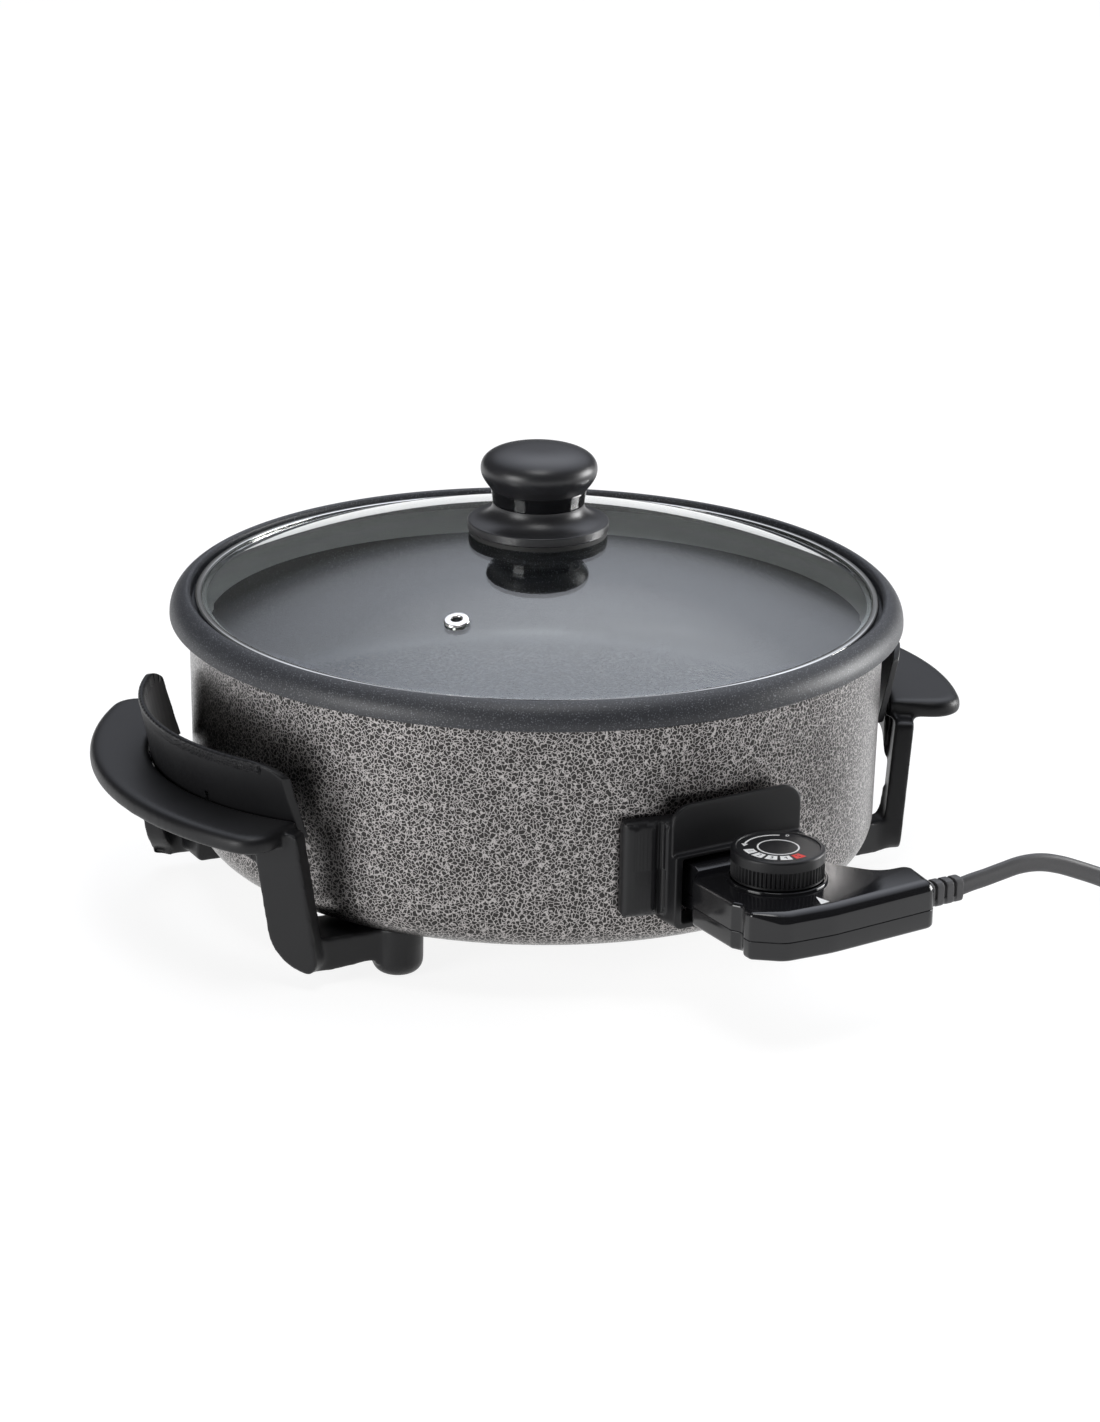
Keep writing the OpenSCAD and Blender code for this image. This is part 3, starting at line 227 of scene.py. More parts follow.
def draw(name, points):
    """Draws an edge from point to point, for a piece to be spun or raised from."""
    pick()
    bpy.ops.mesh.primitive_plane_add(size=0.001, location=(0, 0, 0))
    piece = bpy.context.object
    piece.name = name
    piece.data.name = name
    bpy.ops.object.mode_set(mode="EDIT")
    bpy.ops.mesh.select_all(action="SELECT")
    bpy.ops.mesh.merge(type="CENTER")
    bpy.ops.transform.translate(value=points[0])
    for a, b in zip(points, points[1:]):
        step = Vector(b) - Vector(a)
        bpy.ops.mesh.extrude_region_move(TRANSFORM_OT_translate={"value": step})
    return piece


def close_line():
    """Joins the drawn line's last point to its first."""
    bpy.ops.object.mode_set(mode="OBJECT")
    mesh = bpy.context.object.data
    ends = [0, len(mesh.vertices) - 1]
    for v in mesh.vertices:
        v.select = v.index in ends
    for e in mesh.edges:
        e.select = False
    bpy.ops.object.mode_set(mode="EDIT")
    bpy.ops.mesh.edge_face_add()


def tidy_mesh(angle=30):
    bpy.ops.mesh.select_all(action="SELECT")
    bpy.ops.mesh.remove_doubles(threshold=0.000002)
    bpy.ops.mesh.normals_make_consistent(inside=False)
    bpy.ops.object.mode_set(mode="OBJECT")
    bpy.ops.object.shade_smooth_by_angle(angle=math.radians(angle))


def spun(name, outline, ring=False, steps=192, centre=(0, 0, 0), angle=30):
    """Spins an outline of (radius, height) points round an upright axis."""
    piece = draw(name, [(centre[0] + r, centre[1], centre[2] + z) for r, z in outline])
    if ring:
        close_line()
    bpy.ops.mesh.select_all(action="SELECT")
    bpy.ops.mesh.spin(steps=steps, angle=2 * math.pi, center=centre, axis=(0, 0, 1))
    tidy_mesh(angle)
    return piece


def settle(piece, body, slot, *replaced):
    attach(piece, body)
    if replaced:
        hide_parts(*replaced)


def cut(piece, *cutters):
    """Takes the cutters out of the piece and removes them."""
    for cutter in cutters:
        knife = piece.modifiers.new("cut", "BOOLEAN")
        knife.operation = "DIFFERENCE"
        knife.solver = "EXACT"
        knife.object = cutter
        pick(piece)
        bpy.ops.object.modifier_apply(modifier=knife.name)
        bpy.data.objects.remove(cutter)


def block(name, low, high, edge=0.0, segments=3):
    """A box from its low to its high corner, with its edges rounded."""
    pick()
    middle = [(a + b) / 2 for a, b in zip(low, high)]
    bpy.ops.mesh.primitive_cube_add(size=1, location=(0, 0, 0))
    piece = bpy.context.object
    piece.name = name
    piece.data.name = name
    bpy.ops.object.mode_set(mode="EDIT")
    bpy.ops.mesh.select_all(action="SELECT")
    bpy.ops.transform.resize(value=[b - a for a, b in zip(low, high)])
    bpy.ops.transform.translate(value=middle)
    if edge:
        bpy.ops.mesh.bevel(offset=edge, segments=segments, affect="EDGES")
    tidy_mesh()
    return piece


def bar(name, centre, radius, length, axis="Z", sides=48):
    """A round bar about its centre along an axis."""
    pick()
    bpy.ops.mesh.primitive_cylinder_add(radius=radius, depth=length, vertices=sides, location=(0, 0, 0))
    piece = bpy.context.object
    piece.name = name
    piece.data.name = name
    bpy.ops.object.mode_set(mode="EDIT")
    bpy.ops.mesh.select_all(action="SELECT")
    if axis == "Y":
        bpy.ops.transform.rotate(value=math.pi / 2, orient_axis="X", center_override=(0, 0, 0))
    if axis == "X":
        bpy.ops.transform.rotate(value=math.pi / 2, orient_axis="Y", center_override=(0, 0, 0))
    bpy.ops.transform.translate(value=centre)
    tidy_mesh()
    return piece


shell_line = cup_line(shell_radius, shell_top, shell_low, shell_slope, shell_round)
shell_line += cup_line(shell_radius - shell_sheet, shell_top, shell_low + shell_sheet, shell_slope,
                       shell_round - shell_sheet)[::-1]
shell = spun("painted_shell", shell_line)
cut(shell, block("socket_window", (-window_half, window_y[0], socket_z - window_rise),
                 (window_half, window_y[1], socket_z + window_rise)))
bpy.ops.object.shade_smooth_by_angle(angle=math.radians(30))

hammered = Finish("hammered_paint")
drift = hammered.node("VectorMath", {"operation": "SCALE"}, {0: hammered.node("TexNoise", {}, {
    "Vector": hammered.place(), "Scale": 450.0, "Detail": 0.0}, 1), 3: 0.0022})
spots = hammered.node("VectorMath", {"operation": "ADD"}, {0: hammered.place(), 1: drift})
dimples = hammered.node("TexVoronoi", {"feature": "DISTANCE_TO_EDGE"}, {"Vector": spots, "Scale": 500.0})
vein = hammered.ramp(dimples, (0.02, 1.0), (0.115, 0.0))
paint = hammered.blend(vein, (0.028, 0.026, 0.025, 1), (0.46, 0.437, 0.428, 1))
dress(shell, hammered.skin(Base_Color=paint, Metallic=0.9, Roughness=0.32 - vein * 0.04, Coat_Weight=0.3,
                           Coat_Roughness=0.3, Normal=hammered.bump(vein, 0.00008, 0.4)))
settle(shell, "base", "hammertone", "outer_shell")

# The pot: cast aluminium with a speckled non-stick coat inside and over its rolled rim. Its
# seat carries the lid, and a pad and a sensor block under its floor take the heat.
recess = 172.6 * mm
rim_radius = 183 * mm
lip = 2 * mm
lip_turn = 68
rim_bow = (rim_radius - recess - lip - lip * math.cos(math.radians(lip_turn))) / (
    1 - math.cos(math.radians(lip_turn)))
rim_x = rim_radius - rim_bow
rim_z = rim_top - lip - (rim_bow - lip) * math.sin(math.radians(lip_turn))
rim_sheet = 2.2 * mm
seat_z = 147.5 * mm
pot_radius = 166.3 * mm
pot_wall = 2.8 * mm
floor_z = 75 * mm
pot_slope = math.radians(4)
pad_low = 70 * mm
pad_radius = 132 * mm
rim_drop = 13 * mm
pot_corner = 18 * mm
break_edge = 0.6 * mm
sensor_half = 8 * mm
sensor_low = 53.8 * mm
sensor_y = (-152.6 * mm, -99.6 * mm)
sensor_bore = 3.28 * mm
sensor_depth = 51 * mm
under_turn = math.degrees(math.acos((recess + rim_sheet - rim_x) / (rim_bow - rim_sheet)))
pot_line = cup_line(pot_radius, seat_z - break_edge, floor_z, pot_slope, pot_corner)
pot_line += [(pot_radius + break_edge, seat_z), (recess - 0.5 * mm, seat_z), (recess, seat_z + 0.5 * mm)]
pot_line += bow(recess + lip, rim_top - lip, lip, 180, lip_turn, 8)
pot_line += bow(rim_x, rim_z, rim_bow, lip_turn, 0, 14)[1:]
pot_line += [(rim_radius, rim_top - rim_drop + break_edge), (rim_radius - break_edge, rim_top - rim_drop)]
pot_line += [(rim_radius - rim_sheet, rim_top - rim_drop)]
pot_line += bow(rim_x, rim_z, rim_bow - rim_sheet, 0, under_turn, 8)
pot_line += [(recess + rim_sheet, shell_top)]
pot_line += cup_line(pot_radius + pot_wall, shell_top, floor_z - pot_wall, pot_slope,
                     pot_corner + pot_wall)[:0:-1]
pot_line += [(pad_radius, floor_z - pot_wall), (pad_radius - 0.5 * mm, pad_low), (0, pad_low)]
pot = spun("nonstick_pot", pot_line)

nonstick = Finish("nonstick_coat")
grain = nonstick.ramp(nonstick.noise(1500, 1.0), (0.60, 0.0), (0.68, 1.0))
cloud = nonstick.noise(40, 3.0)
height = nonstick.node("SeparateXYZ", {}, {0: nonstick.place()}, 2)
# Painted light: low in the pot, on its floor, the coat turns a lighter bluish grey, and it gets darker up the
# walls. This stands in for the sheen of overhead light on a coat that is one grey. The same share also makes
# the floor smoother.
inside = nonstick.ramp(height * 5.0, (0.385, 1.0), (0.70, 0.0), (0.43, 0.12))
grey = nonstick.blend(cloud, (0.022, 0.023, 0.027, 1), (0.030, 0.032, 0.037, 1))
# Painted light: the lighter bluish grey of the floor's painted sheen.
grey = nonstick.blend(inside, grey, (0.066, 0.072, 0.092, 1))
grey = nonstick.blend(grain * 0.4, grey, (0.26, 0.27, 0.29, 1))
orange_peel = nonstick.noise(700, 2.0)
dress(pot, nonstick.skin(Base_Color=grey, Roughness=0.42 - inside * 0.20 + orange_peel * 0.10,
                         Normal=nonstick.bump(orange_peel + grain * 0.3, 0.00008, 0.5)))
settle(pot, "base", "nonstick", "inner_pot")

sensor = block("sensor_block", (-sensor_half, sensor_y[0], sensor_low), (sensor_half, sensor_y[1], pad_low),
               break_edge)
cut(sensor, bar("sensor_bore", (0, -129 * mm, socket_z), sensor_bore, sensor_depth, "Y"))
cast = Finish("cast_aluminium")
cast_grain = cast.noise(900, 3.0)
dress(sensor, cast.skin(Base_Color=(0.62, 0.62, 0.63, 1), Metallic=1.0, Roughness=0.45 + cast_grain * 0.2,
                        Normal=cast.bump(cast_grain, 0.0001, 0.4)))
settle(sensor, "base", "nonstick")

# Under the pot: the sheathed heating ring with its pins in ceramic bushes, the pressed steel
# well behind the socket, and the screws and nuts that hold shell, guard and handles.
bright = Finish("bright_steel")
brushed = bright.node("TexNoise", {}, {"Vector": bright.node("Mapping", {}, {"Vector": bright.place(),
                                                                          "Scale": (40, 40, 900)}),
                                      "Scale": 3.0, "Detail": 3.0})
steel = bright.skin(Base_Color=bright.blend(brushed, (0.70, 0.69, 0.68, 1), (0.80, 0.79, 0.78, 1)),
                    Metallic=1.0, Roughness=0.14 + brushed * 0.14)
coat(steel, "shell_screws", "terminal_pins", "socket_well", "guard_screws", "handle_screws", "nut_plates",
     "probe", "control_screws", "knob_washer", "knob_screw", "dial_spindle")

sheath = Finish("scaled_sheath")
scale = sheath.noise(220, 4.0)
coat(sheath.skin(Base_Color=sheath.blend(scale, (0.16, 0.14, 0.13, 1), (0.40, 0.37, 0.35, 1)), Metallic=0.8,
                 Roughness=0.45 + scale * 0.25), "heating_element")

ceramic = Finish("glazed_ceramic")
glaze = ceramic.noise(300, 3.0)
coat(ceramic.skin(Base_Color=ceramic.blend(glaze, (0.78, 0.74, 0.66, 1), (0.88, 0.85, 0.79, 1)),
                  Roughness=0.35 + glaze * 0.15), "terminal_insulators", "switch_frame")

# The socket guard: a black phenolic moulding screwed to the shell round the window, with a
# finger plate above its mouth and an ear at each side.


def joined(piece, *others):
    pick(piece, *others)
    bpy.ops.object.join()
    return piece


def smoothed(piece, passes, group=""):
    """Eases the edges of a piece, or of one group of its points."""
    ease = piece.modifiers.new("ease", "SMOOTH")
    ease.factor = 0.5
    ease.iterations = passes
    ease.vertex_group = group
    bpy.ops.object.modifier_apply(modifier=ease.name)


def softened(name, node, grain_size, passes, cutters=(), added=()):
    """A copy of a moulded node, less and plus some pieces, with edges as they come from the mould."""
    piece = bpy.data.objects.new(name, nodes[node].data.copy())
    scene.collection.objects.link(piece)
    piece.data.name = name
    pick(piece)
    bpy.ops.object.mode_set(mode="EDIT")
    bpy.ops.mesh.select_all(action="SELECT")
    bpy.ops.mesh.remove_doubles(threshold=0.000005)
    bpy.ops.object.mode_set(mode="OBJECT")
    cut(piece, *cutters)
    if added:
        joined(piece, *added)
    piece.data.remesh_voxel_size = grain_size
    bpy.ops.object.voxel_remesh()
    smoothed(piece, passes)
    bpy.ops.object.shade_smooth()
    return piece


phenolic = Finish("black_phenolic")
sheen = phenolic.noise(30, 3.0)
pores = phenolic.noise(2200, 2.0)
phenolic_skin = phenolic.skin(
    Base_Color=phenolic.blend(sheen, (0.006, 0.006, 0.007, 1), (0.010, 0.010, 0.011, 1)),
    Roughness=0.36 + sheen * 0.12, Specular_IOR_Level=0.35, Normal=phenolic.bump(pores, 0.00004, 0.35))

guard = softened("socket_guard_moulding", "socket_guard", 0.5 * mm, 18)
dress(guard, phenolic_skin)
settle(guard, "base", "bakelite", "socket_guard")

# The handles: black phenolic crescents on two bent plate legs with foot posts, moulded in one,
# and a curved heat shield between grip and shell. Sizes here are mm in the handle's own frame.
handle_turn = math.radians(6.5)
shield_middle = (-79, 0)
grip_inner = 120.5
grip_corner = 15
grip_low = 74.2
grip_high = 9.2
grip_round = 4.4
grip_inner_round = 0.8
grip_low_round = 1.2
leg_middle = (-171.3, 85.5)
leg_turn = math.radians(50)
leg_thick = 10
leg_outside = 12.15
leg_sweep = 0.132
leg_lean = 0.08
leg_level = 48
leg_corner = 19
foot_bar_y = 87.8
foot_bar_low = 7.8
foot_bar_top = 24.6
foot_bend = (-163, 40)
foot_pad_x = -158
foot_pad_inner = 62
post_x = -114.5
post_y = 87.5
post_clear = 15
shield_half = 81.5
cad_leg_x = (-195, -128)
cad_leg_y = (73, 101)
cad_leg_z = (-1, 74.6)
cad_shield_x = (-230, -100)
cad_shield_y = 110
cad_shield_z = (60, 125)
cad_grip_line = [(124, 74.9), (175, 74.9), (175, 92), (115, 92), (115, 76.5), (124, 76.5)]


def in_handle(x, y, z, flip):
    """A place in the left handle's own frame, in mm, set back round the pan, or its mirror image."""
    across = x * math.cos(handle_turn) + y * math.sin(handle_turn)
    return Vector((flip * across, y * math.cos(handle_turn) - x * math.sin(handle_turn), z)) * mm


def carried(name, outline, step):
    """A closed outline carried along one step, open for more edits."""
    piece = draw(name, outline)
    bpy.ops.mesh.select_all(action="SELECT")
    bpy.ops.mesh.edge_face_add()
    bpy.ops.mesh.extrude_region_move(TRANSFORM_OT_translate={"value": step})
    bpy.ops.mesh.select_all(action="SELECT")
    bpy.ops.mesh.normals_make_consistent(inside=False)
    return piece


def slab(name, outline, step):
    """A closed outline carried along one step."""
    piece = carried(name, outline, step)
    tidy_mesh()
    return piece


def eased(corners, steps=7):
    """A closed outline whose corners (x, y, radius) are rounded."""
    points = []
    for i, (x, y, r) in enumerate(corners):
        b = Vector((x, y))
        u = (Vector(corners[i - 1][:2]) - b).normalized()
        v = (Vector(corners[(i + 1) % len(corners)][:2]) - b).normalized()
        spread_angle = u.angle(v) / 2
        m = b + (u + v).normalized() * r / math.sin(spread_angle)
        s = b + u * r / math.tan(spread_angle) - m
        e = b + v * r / math.tan(spread_angle) - m
        start = math.atan2(s.y, s.x)
        sweep = (math.atan2(e.y, e.x) - start + math.pi) % (2 * math.pi) - math.pi
        for k in range(steps + 1):
            a = start + sweep * k / steps
            points.append((m.x + r * math.cos(a), m.y + r * math.sin(a)))
    return points


def built(name, points, faces, angle):
    """A piece made of points and faces."""
    mesh = bpy.data.meshes.new(name)
    mesh.from_pydata(points, [], faces)
    piece = bpy.data.objects.new(name, mesh)
    scene.collection.objects.link(piece)
    pick(piece)
    bpy.ops.object.mode_set(mode="EDIT")
    tidy_mesh(angle)
    return piece


def cushioned(name, outline, height, edge_at, low_edge, rows=8):
    """Raises an outline whose top edge is rounded by a radius that changes along it."""
    count = len(outline)
    points = [Vector(p) for p in outline]
    inward = []
    for i in range(count):
        along = points[(i + 1) % count] - points[i - 1]
        inward.append(Vector((-along.y, along.x, 0)).normalized())
    verts = [p + q * low_edge for p, q in zip(points, inward)]
    verts += [p + Vector((0, 0, low_edge)) for p in points]
    for row in range(rows + 1):
        turn = math.radians(90 * row / rows)
        for p, q in zip(points, inward):
            r = edge_at(p)
            verts.append(p + q * r * (1 - math.cos(turn)) + Vector((0, 0, height - r * (1 - math.sin(turn)))))
    faces = [(k * count + i, k * count + (i + 1) % count,
              (k + 1) * count + (i + 1) % count, (k + 1) * count + i)
             for k in range(rows + 2) for i in range(count)]
    faces += [tuple(range(count))[::-1], tuple(range((rows + 2) * count, (rows + 3) * count))]
    return built(name, verts, faces, 35)


def crescent(name, flip, middle, radius, ends, inner_ends):
    """The grip: a thick crescent with round edges and round outer corners."""
    swing = math.degrees(math.asin(grip_corner / (radius - grip_corner)))
    far, near = ends[0] + swing, ends[1] - swing
    far_corner, near_corner = [bow(*middle, radius - grip_corner, turn, turn, 1)[0]
                               for turn in (far, near)]
    outline = bow(*shield_middle, grip_inner, *inner_ends[::-1], 40)
    outline += bow(*far_corner, grip_corner, ends[0] - 90, far, 8)
    outline += bow(*middle, radius, far, near, 40)[1:-1]
    outline += bow(*near_corner, grip_corner, near, ends[1] + 90, 8)
    places = [in_handle(x, y, grip_low, flip) for x, y in outline][::flip]
    axis = in_handle(*shield_middle, 0, flip).xy

    def edge_at(p):
        return (grip_inner_round if (p.xy - axis).length < (grip_inner + 2) * mm else grip_round) * mm

    return cushioned(name, places, grip_high * mm, edge_at, grip_low_round * mm)


def leg(name, end, flip, top, inner_half):
    """An upright plate under the grip's end, and the bar and pad from its foot to the post."""
    along = (math.cos(leg_turn), end * math.sin(leg_turn))
    out = (-math.sin(leg_turn), end * math.cos(leg_turn))

    def on_plate(d, z):
        d += leg_sweep * (leg_level - z)
        depth = leg_lean * (z - leg_level) - leg_thick / 2
        return in_handle(leg_middle[0] + along[0] * d + out[0] * depth,
                         end * leg_middle[1] + along[1] * d + out[1] * depth, z, flip)

    def between(label, outline, *ys):
        step = in_handle(0, max(ys) - min(ys), 0, flip)
        return slab(label, [in_handle(x, min(ys), z, flip) for x, z in outline], step)

    plate = eased([(-leg_outside, top, 2), (-leg_outside, foot_bar_low, leg_corner),
                   (inner_half, foot_bar_low + 0.5, 8), (inner_half, top, 2)])
    upright = slab(name + "_upright", [on_plate(d, z) for d, z in plate],
                   in_handle(out[0] * leg_thick, out[1] * leg_thick, 0, flip))
    bend_x, bend_z = foot_bend
    bar_line = eased([(bend_x - 3, foot_bar_low, 2), (bend_x + 13, foot_bar_low - 0.4, 30),
                      (post_x, foot_bar_low + 2.7, 1), (post_x, foot_bar_top, 1),
                      (bend_x + 2.5, foot_bar_top, 7), (bend_x, bend_z, 2), (bend_x - 5, bend_z, 2)])
    pad_line = eased([(foot_pad_x, foot_bar_low + 2.2, 3), (post_x, foot_bar_low + 2.7, 1),
                      (post_x, foot_bar_top, 1), (foot_pad_x, foot_bar_top, 3)])
    bar_y = end * foot_bar_y
    return [upright, between(name + "_bar", bar_line, bar_y - leg_thick / 2, bar_y + leg_thick / 2),
            between(name + "_pad", pad_line, end * foot_pad_inner, end * (foot_bar_y - 4))]


def handle_block(name, xs, ys, zs, flip):
    """A cutter between two corners in the handle's own frame."""
    corners = [(xs[0], min(ys)), (xs[1], min(ys)), (xs[1], max(ys)), (xs[0], max(ys))]
    return slab(name, [in_handle(x, y, zs[0], flip) for x, y in corners], (0, 0, (zs[1] - zs[0]) * mm))


grips = {"left": ((-54.1, -2.2), 173.5, (133.0, 216.2), (136.0, 224.1)),
         "right": (shield_middle, 157.5, (134.0, 222.0), (134.0, 222.0))}
leg_tops = {"left": (81, 75), "right": (75, 75)}
far_inner_half = 3
for side, flip in (("left", 1), ("right", -1)):
    cut_off = [handle_block("leg_cutter", cad_leg_x, [end * y for y in cad_leg_y], cad_leg_z, flip)
               for end in (-1, 1)]
    cut_off += [spun("grip_cutter", [(r * mm, z * mm) for r, z in cad_grip_line], ring=True, steps=96,
                     centre=in_handle(*shield_middle, 0, flip))]
    near_top, far_top = leg_tops[side]
    new_forms = [crescent("grip", flip, *grips[side])]
    new_forms += leg("near_leg", -1, flip, near_top, leg_outside)
    new_forms += leg("far_leg", 1, flip, far_top, far_inner_half)
    handle = softened(side + "_handle_moulding", side + "_handle", 0.9 * mm, 12, cut_off, new_forms)
    posts = [in_handle(post_x, end * post_y, 0, flip).xy for end in (-1, 1)]
    off_posts = handle.vertex_groups.new(name="off_posts")
    clear_of_posts = [v.index for v in handle.data.vertices
                      if all((v.co.xy - p).length > post_clear * mm for p in posts)]
    off_posts.add(clear_of_posts, 1.0, "REPLACE")
    smoothed(handle, 20, off_posts.name)
    dress(handle, phenolic_skin)
    settle(handle, "base", "bakelite", side + "_handle")
    ends_off = [handle_block("end_cutter", cad_shield_x, (end * shield_half, end * cad_shield_y),
                             cad_shield_z, flip) for end in (-1, 1)]
    shield = softened(side + "_shield_moulding", side + "_heat_shield", 0.5 * mm, 14, ends_off)
    dress(shield, phenolic_skin)
    settle(shield, "base", "bakelite", side + "_heat_shield")

# The lid: a domed tempered glass in a rolled stainless band whose skirt drops into the pot,
# with a riveted steam eyelet.
band_z = seat_z + 0.3 * mm
lid_radius = 170.6 * mm
band_sheet = 0.8 * mm
band_top = band_z + 5.4 * mm
band_lip = 3.6 * mm
skirt_drop = 13 * mm
skirt_radius = pot_radius - skirt_drop * math.tan(pot_slope) - 0.7 * mm
glass_low = band_z + band_sheet + 0.2 * mm
glass_sheet = 3.2 * mm
glass_top = glass_low + glass_sheet
dome_radius = lid_radius - band_lip - 0.5 * mm
dome_rise = 33 * mm
dome_ball = (dome_radius ** 2 + dome_rise ** 2) / (2 * dome_rise)
apex = glass_top + dome_rise


def dome_at(radius):
    return apex - dome_ball + math.sqrt(dome_ball ** 2 - radius ** 2)


glass_bore = 3.6 * mm
spread = [glass_bore + (dome_radius - glass_bore) * i / 40 for i in range(41)]
glass_line = [(r, dome_at(r)) for r in spread]
glass_edge = lid_radius - band_sheet - 0.3 * mm
glass_line += [(glass_edge - 0.5 * mm, glass_top), (glass_edge, glass_top - 0.5 * mm),
               (glass_edge, glass_low + 0.5 * mm), (glass_edge - 0.5 * mm, glass_low)]
glass_line += [(r, dome_at(r) - glass_sheet) for r in spread[::-1]]
glass = spun("lid_dome", glass_line, ring=True, steps=256, angle=40)

vent_r = 112 * mm
vent_turn = math.radians(217.6)
vent_tilt = math.asin(vent_r / dome_ball)


def at_vent(piece):
    """Brings a piece made round the upright axis on to the dome at the vent."""
    pick(piece)
    piece.rotation_euler = (0, vent_tilt, vent_turn)
    piece.location = (vent_r * math.cos(vent_turn), vent_r * math.sin(vent_turn), dome_at(vent_r))
    bpy.ops.object.transform_apply(location=True, rotation=True, scale=True)
    return piece


cut(glass, at_vent(bar("vent_hole", (0, 0, 0), 3.75 * mm, 20 * mm)))
bpy.ops.object.shade_smooth_by_angle(angle=math.radians(40))

clear = Finish("tempered_glass")
dress(glass, clear.skin(Base_Color=(0.93, 0.965, 0.955, 1), Roughness=0.0, IOR=1.5,
                        Transmission_Weight=1.0))
settle(glass, "lid", "glass", "lid_glass")

band_line = [(skirt_radius - band_sheet, band_z - skirt_drop), (skirt_radius, band_z - skirt_drop),
             (skirt_radius, band_z - 0.5 * mm), (skirt_radius + 0.5 * mm, band_z)]
band_line += bow(lid_radius - 0.9 * mm, band_z + 0.9 * mm, 0.9 * mm, -90, 0, 5)
band_line += bow(lid_radius - 1.4 * mm, band_top - 1.4 * mm, 1.4 * mm, 0, 90, 7)
band_line += bow(lid_radius - band_lip + 0.6 * mm, band_top - 0.6 * mm, 0.6 * mm, 90, 180, 4)
band_line += [(lid_radius - band_lip, glass_top + 0.1 * mm), (lid_radius - band_sheet, glass_top + 0.1 * mm),
              (lid_radius - band_sheet, band_z + band_sheet),
              (skirt_radius - band_sheet, band_z + band_sheet)]
band = spun("lid_band_rolled", band_line, ring=True, steps=256)
rolled = Finish("rolled_steel")
band_level = rolled.node("SeparateXYZ", {}, {0: rolled.place()}, 2)
# Painted reflection: below the band's seat the skirt turns almost non-metallic and rougher. Its steel tone
# then shows as a flat pale colour, standing in for the bright reflection of the steel skirt.
painted_pale_skirt = rolled.ramp((band_level - band_z) * 500.0, (0.0, 1.0), (0.5, 0.0))
steel_tone = rolled.blend(rolled.noise(60), (0.70, 0.70, 0.68, 1), (0.80, 0.80, 0.78, 1))
dress(band, rolled.skin(Base_Color=steel_tone, Metallic=1.0 - painted_pale_skirt * 0.92, Roughness=0.12 + painted_pale_skirt * 0.33))
settle(band, "lid", "steel", "lid_band")

eyelet_line = [(2.5, 1.0)] + bow(3.4, 0.9, 0.9, 180, 90, 5) + [(5.2, 1.6)] + bow(5.4, 0.6, 1.0, 80, 0, 6)
eyelet_line += [(6.4, 0.3), (3.6, 0.3), (3.6, -3.8), (5.2, -3.8), (5.2, -4.6), (2.9, -4.8), (2.5, -4.4)]
eyelet = at_vent(spun("steam_eyelet", [(r * mm, z * mm) for r, z in eyelet_line], ring=True, steps=64))
dress(eyelet, steel)
settle(eyelet, "lid", "steel", "vent_eyelet")

# The knob: a phenolic foot and cap with a polished collar between them, held on a rubber
# gasket by one screw through the glass.
gasket = Finish("black_rubber")
rubber_grain = gasket.noise(900, 3.0)
rubber = gasket.skin(
    Base_Color=gasket.blend(rubber_grain, (0.018, 0.018, 0.018, 1), (0.032, 0.032, 0.032, 1)),
    Roughness=0.6 + rubber_grain * 0.15, Normal=gasket.bump(rubber_grain, 0.00005, 0.3))
coat(rubber, "knob_gasket")

satin_black = Finish("satin_knob")
haze = satin_black.noise(40, 3.0)
knob_skin = satin_black.skin(
    Base_Color=satin_black.blend(haze, (0.016, 0.016, 0.018, 1), (0.022, 0.022, 0.024, 1)),
    Roughness=0.30 + haze * 0.10, Normal=satin_black.bump(satin_black.noise(2200, 2.0), 0.00004, 0.25))

gloss = Finish("polished_black")
wipe = gloss.noise(60, 4.0)
polished = gloss.skin(Base_Color=gloss.blend(wipe, (0.006, 0.006, 0.007, 1), (0.009, 0.009, 0.010, 1)),
                      Roughness=0.07 + wipe * 0.08)

knob_z = apex + 1 * mm
knob_bore = 3.0 * mm
foot_radius = 35.2 * mm
foot_band = 4.6 * mm
neck_radius = 22.8 * mm
foot_high = 13.4 * mm
foot_line = [(knob_bore, knob_z), (foot_radius - 0.5 * mm, knob_z), (foot_radius, knob_z + 0.5 * mm)]
foot_line += bow(foot_radius - 0.8 * mm, knob_z + foot_band - 0.8 * mm, 0.8 * mm, 0, 80, 4)
for i in range(1, 17):
    turn = math.radians(90 * i / 16)
    foot_line += [(neck_radius + (foot_radius - 1.5 * mm - neck_radius) * (1 - math.sin(turn)),
                   knob_z + foot_band + (foot_high - foot_band) * (1 - math.cos(turn)))]
foot_line += [(knob_bore, knob_z + foot_high)]
knob_foot = spun("knob_foot", foot_line, ring=True, steps=128)
dress(knob_foot, knob_skin)
settle(knob_foot, "lid", "bakelite", "knob_base")

collar_z = knob_z + foot_high
collar_high = 7.4 * mm
collar_line = [(knob_bore, collar_z), (neck_radius - 0.4 * mm, collar_z), (neck_radius, collar_z + 0.5 * mm),
               (neck_radius + 0.35 * mm, collar_z + 3 * mm), (neck_radius + 1 * mm, collar_z + 6.7 * mm),
               (neck_radius + 0.7 * mm, collar_z + collar_high), (knob_bore, collar_z + collar_high)]
collar = spun("knob_collar_polished", collar_line, ring=True, steps=128)
dress(collar, polished)
settle(collar, "lid", "control_black", "knob_collar")

